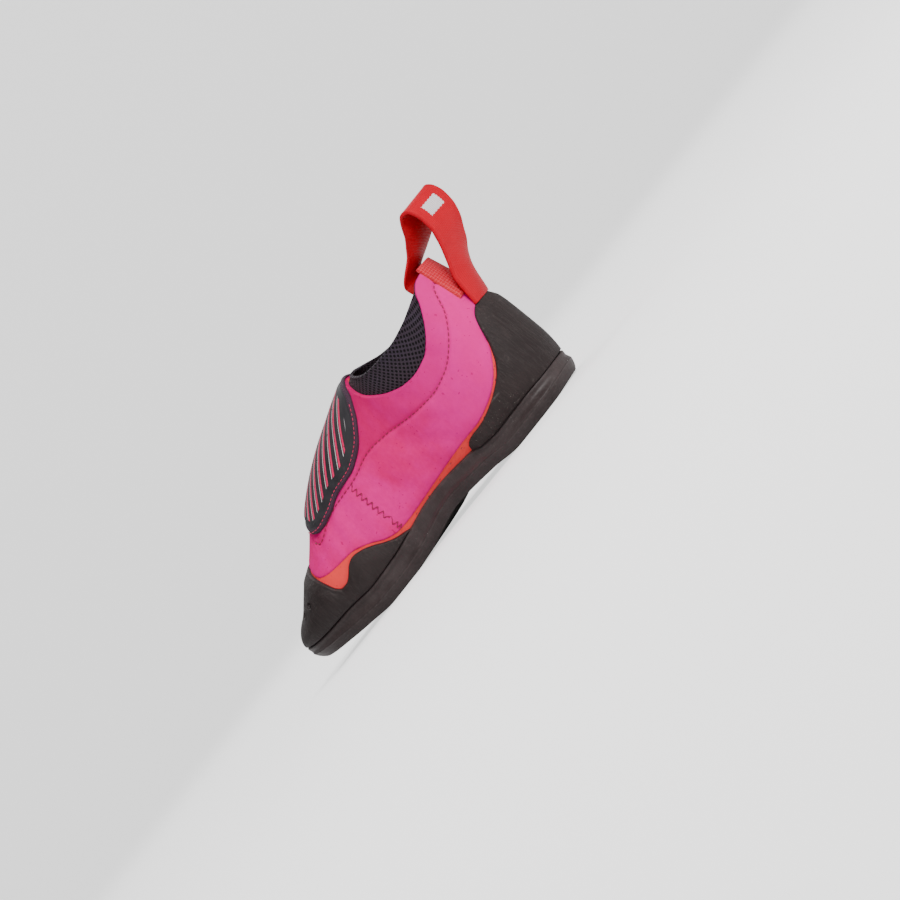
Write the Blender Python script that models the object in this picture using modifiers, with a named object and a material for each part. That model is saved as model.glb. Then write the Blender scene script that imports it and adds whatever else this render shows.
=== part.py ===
"""A child's slip-on climbing shoe for the right foot, in metres.

+X points to the toe, +Y to the medial side and +Z up. The origin is on the floor under the heel.
Every piece follows one foot form, the last. A place on it is a turn round the shoe and a lift up
its side. Turn 0 is the back of the heel, 1 the tip of the toe, and the lateral side carries on
from 1 to 2. Lift 0 is the middle of the underside and 1 the ridge along the top.
"""
import math
from functools import lru_cache

import bmesh
import bpy
from mathutils import Vector

MM = 0.001

# Driving sizes
SOLE_LENGTH = 165 * MM
BALL_WIDTH = 57.6 * MM
INSTEP_HEIGHT = 66 * MM
HEEL_HEIGHT = 78 * MM
SOLE_THICKNESS = 4.8 * MM
SOLE_BEVEL = 2.5 * MM
UPPER_WALL = 1.8 * MM
UNDERLAY_WALL = 1.2 * MM
RUBBER_WALL = 1.8 * MM
PANEL_WALL = 2 * MM
CUFF_WALL = 1.4 * MM
INSOLE_WALL = 1.8 * MM
TAPE_WALL = 0.9 * MM
WEBBING_WIDTH = 19 * MM
WEBBING_WALL = 1.4 * MM
CLEARANCE = 0.3 * MM
HEEL_REST_AT = 0.12

# Where the layers lie, measured out from the last
OVER_UPPER = UPPER_WALL + CLEARANCE
OVER_RUBBER = OVER_UPPER + RUBBER_WALL
OVER_TAPE = OVER_UPPER + TAPE_WALL + CLEARANCE
UNDER_CUFF = -2.5 * CLEARANCE - CUFF_WALL
LAST_LENGTH = SOLE_LENGTH - OVER_RUBBER + CLEARANCE

# The last's sections. at: share of its length. swing, medial, lateral: shares of the ball width.
# crest: share of the instep height. wide: how far up the section is widest. crown: its roundness.
SECTION_COLUMNS = ("at", "swing", "medial", "lateral", "crest", "wide", "crown")
SECTIONS = (
    (0.00, 0.00, 0.370, 0.350, 1.45, 0.26, 2.0),
    (0.10, 0.00, 0.370, 0.350, 1.45, 0.26, 2.0),
    (0.20, -0.01, 0.385, 0.395, 1.42, 0.24, 2.0),
    (0.30, -0.04, 0.380, 0.405, 1.28, 0.24, 2.0),
    (0.38, -0.06, 0.370, 0.430, 1.08, 0.26, 2.0),
    (0.48, -0.06, 0.372, 0.460, 1.00, 0.28, 2.0),
    (0.60, -0.03, 0.400, 0.500, 0.90, 0.30, 2.0),
    (0.71, 0.02, 0.420, 0.525, 0.765, 0.34, 1.95),
    (0.80, 0.07, 0.410, 0.490, 0.595, 0.38, 1.9),
    (0.88, 0.12, 0.375, 0.450, 0.440, 0.42, 1.9),
    (0.94, 0.14, 0.370, 0.415, 0.340, 0.44, 1.9),
    (1.00, 0.15, 0.370, 0.395, 0.290, 0.50, 2.0),
)
HEEL_ROUND = 0.13
TOE_ROUND = 0.20
NOSE_ROUND = 0.05
NOSE_LEAST_HEIGHT = 3 * MM
UNDERSIDE_SQUARENESS = 4.0

# The sole line. at: share of the sole's length. rise: share of it above the floor.
SOLE_COLUMNS = ("at", "rise")
SOLE_LINE = (
    (0.00, 0.004),
    (0.05, 0.000),
    (0.18, 0.000),
    (0.28, 0.015),
    (0.42, 0.026),
    (0.56, 0.005),
    (0.62, 0.000),
    (0.71, 0.000),
    (0.80, 0.013),
    (0.88, 0.026),
    (0.95, 0.037),
    (1.00, 0.047),
)

# The heel's back curve. up: share of the heel height. back: share of the length, forward of the end.
HEEL_COLUMNS = ("up", "back")
HEEL_CURVE = (
    (0.00, 0.020),
    (0.14, -0.004),
    (0.28, -0.014),
    (0.50, -0.016),
    (0.62, -0.010),
    (0.80, 0.003),
    (1.00, 0.019),
    (1.30, 0.040),
)
HEEL_CURVE_REACH = 0.30

# The rand's upper edge. at: share of the last's length. over: share of the heel height, over the sole.
RAND_COLUMNS = ("at", "over")
RAND_LINE = (
    (0.00, 0.060),
    (0.08, 0.073),
    (0.17, 0.070),
    (0.27, 0.064),
    (0.34, 0.063),
    (0.43, 0.065),
    (0.51, 0.082),
    (0.60, 0.087),
    (0.68, 0.080),
    (0.80, 0.071),
    (0.89, 0.050),
    (0.94, 0.044),
    (1.00, 0.044),
)

# Edges seen from the side. at: share of the last's length. up: share of the heel height.
EDGE_COLUMNS = ("at", "up")
UNDERLAY_LINE = (
    (0.00, 0.670),
    (0.012, 0.655),
    (0.035, 0.560),
    (0.055, 0.435),
    (0.105, 0.330),
    (0.152, 0.283),
    (0.25, 0.245),
    (0.40, 0.243),
    (0.53, 0.247),
    (0.564, 0.230),
    (0.60, 0.252),
    (0.65, 0.310),
    (0.69, 0.343),
    (0.76, 0.365),
    (0.80, 0.390),
    (0.88, 0.290),
    (0.94, 0.260),
    (1.00, 0.240),
)
HEEL_CUP_LINE = (
    (0.00, 0.640),
    (0.011, 0.625),
    (0.024, 0.595),
    (0.036, 0.535),
    (0.048, 0.440),
    (0.072, 0.345),
    (0.10, 0.293),
    (0.15, 0.245),
    (0.20, 0.220),
    (0.245, 0.215),
    (0.272, 0.197),
)
TOE_CAP_LINE = (
    (0.556, 0.172),
    (0.587, 0.194),
    (0.613, 0.228),
    (0.64, 0.270),
    (0.67, 0.306),
    (0.696, 0.321),
    (0.715, 0.310),
    (0.739, 0.275),
    (0.76, 0.256),
    (0.80, 0.262),
    (1.00, 0.262),
)
RIM_LINE = (
    (0.00, 0.950),
    (0.03, 0.935),
    (0.05, 0.900),
    (0.065, 0.845),
    (0.10, 0.750),
    (0.13, 0.695),
    (0.16, 0.663),
    (0.21, 0.647),
    (0.25, 0.658),
    (0.30, 0.700),
    (0.34, 0.757),
    (0.36, 0.793),
    (0.375, 0.838),
    (0.384, 0.880),
    (0.392, 0.915),
)
CUFF_LINE = (
    (0.00, 0.935),
    (0.05, 0.905),
    (0.09, 0.878),
    (0.13, 0.856),
    (0.20, 0.838),
    (0.27, 0.845),
    (0.32, 0.862),
    (0.36, 0.900),
    (0.40, 0.960),
    (0.42, 0.980),
)
PANEL_LINE = (
    (0.38, 0.825),
    (0.40, 0.785),
    (0.414, 0.755),
    (0.431, 0.715),
    (0.467, 0.648),
    (0.503, 0.612),
    (0.54, 0.588),
    (0.60, 0.578),
    (0.65, 0.545),
    (0.72, 0.520),
)
THROAT_AT = 0.392
TOE_CAP_AT = 0.795
EDGE_MARGIN = 1e-6

# How finely the form is divided. columns: how many there are from the last place to this one.
COLUMN_STOPS = (
    (0.34, 12),
    (THROAT_AT, 6),
    (0.44, 3),
    (TOE_CAP_AT, 8),
    (1.00, 9),
)
COLUMN_GAP = 0.006
UPPER_ROWS = 9
CUFF_ROW = 7
CUFF_FRONT_AT = 0.42
PANEL_ENDS_AT = (0.392, 0.72)
INSOLE_ENDS_AT = (0.025, 0.95)
UNDERSIDE_LIFTS = (0.12, 0.18, 0.24, 0.32)
STEP_LIFT = 0.004
LINE_LIMIT = 0.7
CAP_LEAST_LIFT = 0.85
TAPE_TOP = 0.965

# The pull loop in the middle plane. at: share of its run from inside the collar to the heel cup.
# ahead, up: shares of the heel height, forward of the heel's end and above the floor.
# twist: degrees. bow: how much of the heel's roundness the webbing keeps.
LOOP_COLUMNS = ("at", "ahead", "up", "twist", "bow")
LOOP_PATH = (
    (0.20, -0.024, 1.026, 4, 0.25),
    (0.27, -0.094, 1.088, 8, 0.00),
    (0.33, -0.140, 1.143, 11, 0.00),
    (0.39, -0.200, 1.183, 13, 0.00),
    (0.44, -0.235, 1.170, 14, 0.00),
    (0.50, -0.262, 1.110, 16, 0.00),
    (0.58, -0.262, 1.045, 16, 0.02),
    (0.66, -0.235, 0.980, 15, 0.08),
    (0.74, -0.180, 0.900, 12, 0.20),
    (0.88, -0.110, 0.780, 6, 0.60),
)
LOOP_INSIDE_UP = (0.84, 0.94)
LOOP_FOOT_UP = 0.68

# Colours, linear
PINK = (0.90, 0.03, 0.28)
BLACK_RUBBER = (0.035, 0.032, 0.030)
SOLE_RUBBER = (0.045, 0.036, 0.033)
RED = (0.75, 0.01, 0.02)
MESH_BLACK = (0.035, 0.028, 0.040)
PANEL_GREY = (0.045, 0.042, 0.050)
BOARD = (0.35, 0.30, 0.26)


def read(rows, columns, name, at):
    """A table's column at this place, on a smooth curve that never overshoots its rows."""
    places = [row[0] for row in rows]
    values = [row[columns.index(name)] for row in rows]
    at = min(max(at, places[0]), places[-1])
    last = len(rows) - 2
    k = max(i for i in range(last + 1) if places[i] <= at)
    spans = [b - a for a, b in zip(places, places[1:])]
    slopes = [(b - a) / span for a, b, span in zip(values, values[1:], spans)]

    def bend(i):
        if i in (0, last + 1):
            return slopes[0] if i == 0 else slopes[-1]
        if slopes[i - 1] * slopes[i] <= 0:
            return 0.0
        return 2 * slopes[i - 1] * slopes[i] / (slopes[i - 1] + slopes[i])

    t = (at - places[k]) / spans[k]
    start, end = bend(k) * spans[k], bend(k + 1) * spans[k]
    return (
        values[k] * (1 + 2 * t) * (1 - t) ** 2
        + start * t * (1 - t) ** 2
        + values[k + 1] * t * t * (3 - 2 * t)
        - end * t * t * (1 - t)
    )


def section(name, at):
    return read(SECTIONS, SECTION_COLUMNS, name, at)


def station(turn):
    """The share of the length at this turn, and +1 on the medial side or -1 on the lateral side."""
    turn = turn % 2
    side = 1 if turn <= 1 else -1
    return (1 - math.cos(math.pi * turn)) / 2, side


def turn_at(at):
    return math.acos(1 - 2 * at) / math.pi


def at_tip(turn):
    """Whether this is the column at the tip of the toe, where all rows meet in one point."""
    return abs(turn - 1) < EDGE_MARGIN


def round_end(share):
    share = min(max(share, 0), 1)
    return math.sqrt(1 - (1 - share) ** 2)


def half_width(at, side, grow=0.0):
    """How far the form reaches from its centre line, rounded in plan at heel and toe."""
    name = "medial" if side > 0 else "lateral"
    ends = round_end(at / HEEL_ROUND) * round_end((1 - at) / TOE_ROUND)
    return (section(name, at) * BALL_WIDTH + grow) * ends


def sole_height(at):
    return read(SOLE_LINE, SOLE_COLUMNS, "rise", at) * SOLE_LENGTH


def plan_point(turn, grow, height):
    """A point of the plan outline, this far outside the last."""
    at, side = station(turn)
    x = -grow + (LAST_LENGTH + 2 * grow) * at - HEEL_REST_AT * SOLE_LENGTH
    y = section("swing", at) * BALL_WIDTH + side * half_width(at, side, grow)
    return Vector((x, y, sole_height(at) + height))


def last_point(turn, lift):
    """A point of the last. A lift past either end carries on down or up the other side."""
    if lift < 0 or lift > 1:
        turn, lift = 2 - turn, 2 * (lift > 1) - lift
    at, side = station(turn)
    low = sole_height(at) + SOLE_THICKNESS + CLEARANCE + UPPER_WALL
    rise = (section("crest", at) * INSTEP_HEIGHT - low) * round_end((1 - at) / NOSE_ROUND)
    high = low + max(rise, NOSE_LEAST_HEIGHT)
    middle = low + section("wide", at) * (high - low)
    angle = math.pi * (lift - 0.5)
    if lift >= 0.5:
        power = 2 / section("crown", at)
        z = middle + (high - middle) * math.sin(angle) ** power
    else:
        power = 2 / UNDERSIDE_SQUARENESS
        z = middle - (middle - low) * math.sin(-angle) ** power
    out = half_width(at, side) * max(math.cos(angle), 0) ** power
    back = read(HEEL_CURVE, HEEL_COLUMNS, "back", z / HEEL_HEIGHT)
    fade = max(1 - at / HEEL_CURVE_REACH, 0) ** 2
    x = LAST_LENGTH * at + back * LAST_LENGTH * fade - HEEL_REST_AT * SOLE_LENGTH
    return Vector((x, section("swing", at) * BALL_WIDTH + side * out, z))


def form_point(turn, lift, offset):
    """The point of the last at this turn and lift, moved straight out by the offset."""
    step = 0.004
    along = last_point(turn + step, lift) - last_point(turn - step, lift)
    up = last_point(turn, lift + step) - last_point(turn, lift - step)
    return last_point(turn, lift) + up.cross(along).normalized() * offset


def lift_at(turn, height, offset):
    """How far up its side the offset form reaches this height."""
    low, high = 0.0, 1.0
    for _ in range(24):
        middle = (low + high) / 2
        if form_point(turn, middle, offset).z < height:
            low = middle
        else:
            high = middle
    return (low + high) / 2


@lru_cache(maxsize=None)
def edge_lift(rows, turn, offset):
    """The lift of an edge that is drawn from the side."""
    at = station(turn)[0]
    return lift_at(turn, read(rows, EDGE_COLUMNS, "up", at) * HEEL_HEIGHT, offset)


def evenly(first, last, count):
    return [first + (last - first) * i / count for i in range(count + 1)]


@lru_cache(maxsize=None)
def columns():
    """The turns that every piece shares, once round the shoe."""
    half = [0.0]
    for at, count in COLUMN_STOPS:
        half += evenly(half[-1], turn_at(at), count)[1:]
    return half + [2 - turn for turn in reversed(half[:-1])]


def nearest_column(at):
    return min(columns(), key=lambda turn: abs(turn - turn_at(at)))


def columns_between(first, last):
    """The shared turns between two ends, which may run back past the heel, and the ends."""
    around = [turn - 2 for turn in columns()[1:-1]] + columns()
    inner = [turn for turn in around if first + COLUMN_GAP < turn < last - COLUMN_GAP]
    return [first, *inner, last]


def blend(low, high, share):
    return low + (high - low) * share


def finish(name, bm, colour, roughness):
    mesh = bpy.data.meshes.new(name)
    bm.to_mesh(mesh)
    bm.free()
    obj = bpy.data.objects.new(name, mesh)
    parts.objects.link(obj)
    material = bpy.data.materials.new(name)
    material.use_nodes = True
    shader = material.node_tree.nodes["Principled BSDF"]
    shader.inputs["Base Color"].default_value = (*colour, 1)
    shader.inputs["Roughness"].default_value = roughness
    shader.inputs["Metallic"].default_value = 0
    mesh.materials.append(material)
    mesh.shade_smooth()
    mesh.set_sharp_from_angle(angle=math.radians(35))
    return obj


def sheet(name, turns, rows, place, wall, colour, roughness, thin=None, keep=None):
    """An open sheet laid on the form, a column for each turn, which then gets its wall outwards."""
    bm = bmesh.new()
    bmesh.ops.create_grid(bm, x_segments=len(turns) - 1, y_segments=rows, size=1)
    weights = bm.verts.layers.deform.verify()
    spans = len(turns) - 1
    if keep:
        cells = {face: face.calc_center_median() for face in bm.faces}
        dropped = []
        for face, middle in cells.items():
            column = math.floor((middle.x + 1) / 2 * spans)
            if not keep(turns[column], turns[column + 1], math.floor((middle.y + 1) / 2 * rows)):
                dropped.append(face)
        bmesh.ops.delete(bm, geom=dropped, context="FACES")
    for vert in bm.verts:
        column = round((vert.co.x + 1) / 2 * spans)
        row = round((vert.co.y + 1) / 2 * rows)
        vert[weights][0] = 0.0 if thin and thin(turns[column], row) else 1.0
        vert.co = place(turns[column], row)
    bmesh.ops.remove_doubles(bm, verts=bm.verts, dist=MM / 50)
    bmesh.ops.reverse_faces(bm, faces=bm.faces)
    obj = finish(name, bm, colour, roughness)
    full = obj.vertex_groups.new(name="full wall")
    solid = obj.modifiers.new("wall", "SOLIDIFY")
    solid.thickness = wall
    solid.offset = 1
    solid.use_quality_normals = True
    if thin:
        solid.vertex_group = full.name
        solid.thickness_vertex_group = UNDERLAY_WALL / wall
    return obj


def upper_span(turn):
    """The lifts of the underlay's edge and of the upper's top edge, the rim or the ridge."""
    open_top = station(turn)[0] < THROAT_AT - EDGE_MARGIN
    top = edge_lift(RIM_LINE, turn, 0) if open_top else 1.0
    return min(edge_lift(UNDERLAY_LINE, turn, 0), blend(UNDERSIDE_LIFTS[-1], top, LINE_LIMIT)), top


def upper_row(turn, row):
    """The lift of the upper's rows above the underlay's edge."""
    line, top = upper_span(turn)
    return blend(line + STEP_LIFT, top, row / UPPER_ROWS)


def make_upper():
    """The hollow sock, open at the collar and underneath.

    It is thinner below the underlay's edge and under the toe cap.
    """
    under = UNDERSIDE_LIFTS
    to_line = (0.35, 0.70, 1.0)
    step_row = len(under) + len(to_line)

    def place(turn, row):
        if at_tip(turn):
            return form_point(turn, 0.5, 0)
        if row < len(under):
            return form_point(turn, under[row], 0)
        if row < step_row:
            line = upper_span(turn)[0] - STEP_LIFT
            return form_point(turn, blend(under[-1], line, to_line[row - len(under)]), 0)
        return form_point(turn, upper_row(turn, row - step_row), 0)

    def thin(turn, row):
        return row < step_row or station(turn)[0] > TOE_CAP_AT + EDGE_MARGIN

    rows = step_row + UPPER_ROWS
    sheet("upper", columns(), rows, place, UPPER_WALL, PINK, 0.75, thin=thin)


def over_sole(turn, raised):
    """The lift at which the rubber is this far over the sole's top."""
    height = sole_height(station(turn)[0]) + SOLE_THICKNESS + raised
    return lift_at(turn, height, OVER_RUBBER)


def rand_height(turn):
    return read(RAND_LINE, RAND_COLUMNS, "over", station(turn)[0]) * HEEL_HEIGHT


def rand_edges(turn):
    """The lifts of the rand's lower edge, just over the outsole, and of its upper edge."""
    return over_sole(turn, 2 * CLEARANCE), over_sole(turn, rand_height(turn))


def make_rand():
    turns = columns()
    rows = 3
    edges = {turn: rand_edges(turn) for turn in turns}

    def place(turn, row):
        return form_point(turn, blend(*edges[turn], row / rows), OVER_UPPER)

    sheet("rand", turns, rows, place, RUBBER_WALL, BLACK_RUBBER, 0.5)


def above_rand(turn):
    """The lift just over the rand's upper edge, clear of it."""
    return over_sole(turn, rand_height(turn) + 1.5 * CLEARANCE)


def make_toe_cap():
    """Low wings along the sides, and from its back edge on up to the ridge and over."""
    rear, cap = turn_at(TOE_CAP_LINE[0][0]), turn_at(TOE_CAP_AT)
    turns = columns_between(rear, 2 - rear)
    wing_rows, cap_rows = 3, 6
    low = {turn: min(above_rand(turn), CAP_LEAST_LIFT) for turn in turns}

    def over_toe(turn):
        return cap - EDGE_MARGIN < turn < 2 - cap + EDGE_MARGIN

    def place(turn, row):
        if at_tip(turn):
            return form_point(turn, CAP_LEAST_LIFT, OVER_UPPER)
        line = max(edge_lift(TOE_CAP_LINE, turn, OVER_UPPER), low[turn] + 3 * STEP_LIFT)
        line = min(line, blend(low[turn], 1.0, 0.4))
        if row <= wing_rows:
            return form_point(turn, blend(low[turn], line, row / wing_rows), OVER_UPPER)
        share = (row - wing_rows) / cap_rows if over_toe(turn) else 0
        return form_point(turn, blend(line, 1.0, share), OVER_UPPER)

    def keep(first, second, row):
        return row < wing_rows or over_toe(first) and over_toe(second)

    rows = wing_rows + cap_rows
    sheet("toe_cap", turns, rows, place, RUBBER_WALL, BLACK_RUBBER, 0.55, keep=keep)


def make_heel_cup():
    front = turn_at(HEEL_CUP_LINE[-1][0])
    turns = columns_between(-front, front)
    rows = 6
    low = {turn: above_rand(turn) for turn in turns}

    def place(turn, row):
        high = edge_lift(HEEL_CUP_LINE, turn, OVER_UPPER)
        return form_point(turn, blend(low[turn], high, row / rows), OVER_UPPER)

    sheet("heel_cup", turns, rows, place, RUBBER_WALL, BLACK_RUBBER, 0.6)


def make_instep_panel():
    """A thick panel laid over the ridge, with a round end at the throat."""
    turns = columns_between(*(nearest_column(at) for at in PANEL_ENDS_AT))
    rows = 12

    def place(turn, row):
        across = 2 * row / rows - 1
        side_turn = turn if across >= 0 else 2 - turn
        edge = edge_lift(PANEL_LINE, side_turn, OVER_UPPER)
        return form_point(side_turn, blend(1.0, edge, abs(across)), OVER_UPPER)

    panel = sheet("instep_panel", turns, rows, place, PANEL_WALL, PANEL_GREY, 0.6)
    turn_out(panel)


def make_collar_cuff():
    """The mesh cuff: a sleeve inside the rim that stands above it and closes at the throat."""
    front = nearest_column(CUFF_FRONT_AT)
    inside = UPPER_ROWS - CUFF_ROW
    rows = inside + 3

    def place(turn, row):
        if row <= inside:
            return form_point(turn, upper_row(turn, CUFF_ROW + row), UNDER_CUFF)
        rim = upper_row(turn, UPPER_ROWS)
        high = max(edge_lift(CUFF_LINE, turn, UNDER_CUFF), rim)
        return form_point(turn, blend(rim, high, (row - inside) / (rows - inside)), UNDER_CUFF)

    sheet("collar_cuff", columns_between(-front, front), rows, place, CUFF_WALL, MESH_BLACK, 0.9)


def make_insole():
    turns = columns_between(*(turn_at(at) for at in INSOLE_ENDS_AT))
    lifts = (0.0, 0.06) + UNDERSIDE_LIFTS[:3]
    rows = 2 * len(lifts) - 2

    def place(turn, row):
        across = row - len(lifts) + 1
        side_turn = turn if across <= 0 else 2 - turn
        return form_point(side_turn, lifts[abs(across)], -CLEARANCE - INSOLE_WALL)

    insole = sheet("insole", turns, rows, place, INSOLE_WALL, BOARD, 0.9)
    turn_out(insole)


def turn_out(obj):
    """Turns a sheet's faces over where its columns run the other way across the form."""
    obj.data.flip_normals()


def make_outsole():
    """A flat sole with a bevelled edge, wider at the top than where it meets the floor."""
    turns = [turn for turn in columns() if turn <= 1]
    bm = bmesh.new()
    bmesh.ops.create_grid(bm, x_segments=len(turns) - 1, y_segments=1, size=1)
    for vert in bm.verts:
        turn = turns[round((vert.co.x + 1) / 2 * (len(turns) - 1))]
        turn = turn if vert.co.y > 0 else 2 - turn
        vert.co = Vector((turn, 0, 0))
    top = bmesh.ops.extrude_face_region(bm, geom=bm.faces[:])["geom"]
    top = {vert for vert in top if isinstance(vert, bmesh.types.BMVert)}
    for vert in bm.verts:
        raised = vert in top
        grow = OVER_RUBBER if raised else OVER_RUBBER - SOLE_BEVEL
        vert.co = plan_point(vert.co.x, grow, SOLE_THICKNESS if raised else 0)
    bmesh.ops.remove_doubles(bm, verts=bm.verts, dist=MM / 50)
    bmesh.ops.recalc_face_normals(bm, faces=bm.faces)
    finish("outsole", bm, SOLE_RUBBER, 0.7)


def make_heel_tape():
    """A woven tape on the heel's back, from the heel cup up to the rim."""
    rows = 6
    shares = evenly(-1, 1, 6)
    low = LOOP_FOOT_UP * HEEL_HEIGHT
    high = TAPE_TOP * HEEL_HEIGHT

    def place(share, row):
        lift = lift_at(0, blend(low, high, row / rows), OVER_UPPER)
        turn = turn_reaching(share * WEBBING_WIDTH / 2, lift, OVER_UPPER)
        return form_point(turn, lift, OVER_UPPER)

    sheet("heel_tape", shares, rows, place, TAPE_WALL, RED, 0.7)


def turn_reaching(y, lift, offset):
    """The turn at the heel where the offset form reaches this far to the side."""
    low, high = 0.0, 0.2
    for _ in range(20):
        middle = (low + high) / 2
        if abs(form_point(math.copysign(middle, y), lift, offset).y) < abs(y):
            low = middle
        else:
            high = middle
    return math.copysign((low + high) / 2, y)


@lru_cache(maxsize=None)
def loop_rows():
    """The loop's rows in metres: its seat inside the cuff, its free run and its foot on the tape."""
    seats = [(up, UNDER_CUFF - CLEARANCE - WEBBING_WALL) for up in LOOP_INSIDE_UP]
    seats.append((LOOP_FOOT_UP, OVER_TAPE))
    seated = []
    for up, offset in seats:
        lift = lift_at(0, up * HEEL_HEIGHT, offset)
        middle = form_point(0, lift, offset)
        edge = form_point(turn_reaching(WEBBING_WIDTH / 2, lift, offset), lift, offset)
        seated.append((middle.x, middle.z, 0, edge.x - middle.x))
    free = []
    heel_end = -HEEL_REST_AT * SOLE_LENGTH
    full_bow = max(row[3] for row in seated)
    for at, ahead, up, twist, bow in LOOP_PATH:
        free.append((at, heel_end + ahead * HEEL_HEIGHT, up * HEEL_HEIGHT, twist, bow * full_bow))
    return ((0.0, *seated[0]), (0.12, *seated[1]), *free, (1.0, *seated[2]))


def loop_point(share, side):
    """A point of the webbing's inner face. side runs from -1 on the lateral edge to 1."""
    names = ("at", "x", "z", "twist", "bow")
    x, z, twist, bow = (read(loop_rows(), names, name, share) for name in names[1:])
    reach = side * WEBBING_WIDTH / 2
    angle = math.radians(twist)
    return Vector((x + bow * side**2 + reach * math.sin(angle), reach * math.cos(angle), z))


def make_pull_loop():
    shares = evenly(0, 1, 34)
    rows = 4

    def place(share, row):
        return loop_point(share, 2 * row / rows - 1)

    sheet("pull_loop", shares, rows, place, WEBBING_WALL, RED, 0.5)


for old in list(bpy.data.objects):
    bpy.data.objects.remove(old)
parts = bpy.data.collections.new("climbing_shoe")
bpy.context.scene.collection.children.link(parts)

make_outsole()
make_upper()
make_insole()
make_rand()
make_toe_cap()
make_heel_cup()
make_instep_panel()
make_collar_cuff()
make_heel_tape()
make_pull_loop()
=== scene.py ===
"""The looks of a child's slip-on climbing shoe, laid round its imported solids.

Every skin is laid on one foot form, the last. A place on it is a turn round the shoe and a lift up
its side. Turn 0 is the back of the heel and 1 the tip of the toe, and the lateral side carries on
from 1 to 2. Lift 0 is the middle of the underside and 1 the ridge along the top.
"""
import math

import bmesh
import bpy
import numpy as np
from mathutils import Matrix, Vector
from mathutils.kdtree import KDTree


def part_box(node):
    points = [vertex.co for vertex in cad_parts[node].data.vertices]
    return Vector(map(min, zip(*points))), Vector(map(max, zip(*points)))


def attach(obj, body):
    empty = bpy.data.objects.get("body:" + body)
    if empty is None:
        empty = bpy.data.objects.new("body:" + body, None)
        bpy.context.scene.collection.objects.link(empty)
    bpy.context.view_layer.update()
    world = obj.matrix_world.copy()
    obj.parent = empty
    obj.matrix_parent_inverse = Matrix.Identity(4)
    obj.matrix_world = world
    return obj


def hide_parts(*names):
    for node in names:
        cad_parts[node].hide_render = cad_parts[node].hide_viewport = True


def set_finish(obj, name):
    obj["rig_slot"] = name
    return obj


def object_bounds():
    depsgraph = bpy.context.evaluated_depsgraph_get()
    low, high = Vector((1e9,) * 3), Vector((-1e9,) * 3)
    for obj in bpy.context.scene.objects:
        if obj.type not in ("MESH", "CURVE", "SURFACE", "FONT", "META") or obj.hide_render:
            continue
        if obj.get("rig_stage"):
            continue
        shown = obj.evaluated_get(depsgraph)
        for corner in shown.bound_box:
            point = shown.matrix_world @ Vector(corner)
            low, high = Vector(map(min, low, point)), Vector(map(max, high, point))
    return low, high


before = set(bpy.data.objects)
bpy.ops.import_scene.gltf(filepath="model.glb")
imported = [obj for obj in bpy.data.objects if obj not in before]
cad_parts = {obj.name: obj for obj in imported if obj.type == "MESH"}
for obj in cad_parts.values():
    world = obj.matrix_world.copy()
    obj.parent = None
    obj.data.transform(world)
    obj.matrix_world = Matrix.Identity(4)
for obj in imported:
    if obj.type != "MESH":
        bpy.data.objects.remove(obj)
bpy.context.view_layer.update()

MM = 0.001

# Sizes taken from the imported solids
SOLE_LOW, SOLE_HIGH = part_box("outsole")
RUBBER_OUT = 3.9 * MM
LAST_LENGTH = SOLE_HIGH.x - SOLE_LOW.x - 2 * RUBBER_OUT
HEEL_END = SOLE_LOW.x + RUBBER_OUT
LAYER_GAP = 0.3 * MM
SOLE_LENGTH = LAST_LENGTH + RUBBER_OUT - LAYER_GAP

# The shoe's own sizes
BALL_WIDTH = 57.6 * MM
INSTEP_HEIGHT = 66 * MM
HEEL_HEIGHT = 78 * MM
SOLE_THICKNESS = 4.8 * MM
SOLE_BEVEL = 2.5 * MM
UPPER_WALL = 1.8 * MM
CUFF_WALL = 1.2 * MM
WEBBING_WIDTH = 19 * MM
WEBBING_WALL = 1.4 * MM

# The last's sections. at: share of its length. swing, medial, lateral: shares of the ball width.
# crest: share of the instep height. wide: how far up the section is widest. crown: its roundness.
SECTION_COLUMNS = ("at", "swing", "medial", "lateral", "crest", "wide", "crown")
SECTIONS = (
    (0.00, 0.00, 0.370, 0.350, 1.45, 0.26, 2.0),
    (0.10, 0.00, 0.370, 0.350, 1.45, 0.26, 2.0),
    (0.20, -0.01, 0.385, 0.395, 1.42, 0.24, 2.0),
    (0.30, -0.04, 0.380, 0.405, 1.28, 0.24, 2.0),
    (0.38, -0.06, 0.370, 0.430, 1.08, 0.26, 2.0),
    (0.48, -0.06, 0.372, 0.460, 1.00, 0.28, 2.0),
    (0.60, -0.03, 0.400, 0.500, 0.90, 0.30, 2.0),
    (0.71, 0.02, 0.420, 0.525, 0.765, 0.34, 1.95),
    (0.80, 0.07, 0.410, 0.490, 0.595, 0.38, 1.9),
    (0.88, 0.12, 0.375, 0.450, 0.440, 0.42, 1.9),
    (0.94, 0.14, 0.370, 0.415, 0.340, 0.44, 1.9),
    (1.00, 0.15, 0.370, 0.395, 0.290, 0.50, 2.0),
)
HEEL_ROUND = 0.13
TOE_ROUND = 0.20
NOSE_ROUND = 0.05
NOSE_LEAST_HEIGHT = 3 * MM
UNDERSIDE_SQUARENESS = 4.0

# The sole line. at: share of the sole's length. rise: share of it above the floor.
SOLE_COLUMNS = ("at", "rise")
SOLE_LINE = (
    (0.00, 0.004),
    (0.05, 0.000),
    (0.18, 0.000),
    (0.28, 0.015),
    (0.42, 0.026),
    (0.56, 0.005),
    (0.62, 0.000),
    (0.71, 0.000),
    (0.80, 0.013),
    (0.88, 0.026),
    (0.95, 0.037),
    (1.00, 0.047),
)

# The heel's back curve. up: share of the heel height. back: share of the length, forward of the end.
HEEL_COLUMNS = ("up", "back")
HEEL_CURVE = (
    (0.00, 0.020),
    (0.14, -0.004),
    (0.28, -0.014),
    (0.50, -0.016),
    (0.62, -0.010),
    (0.80, 0.003),
    (1.00, 0.019),
    (1.30, 0.040),
)
HEEL_CURVE_REACH = 0.30

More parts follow.
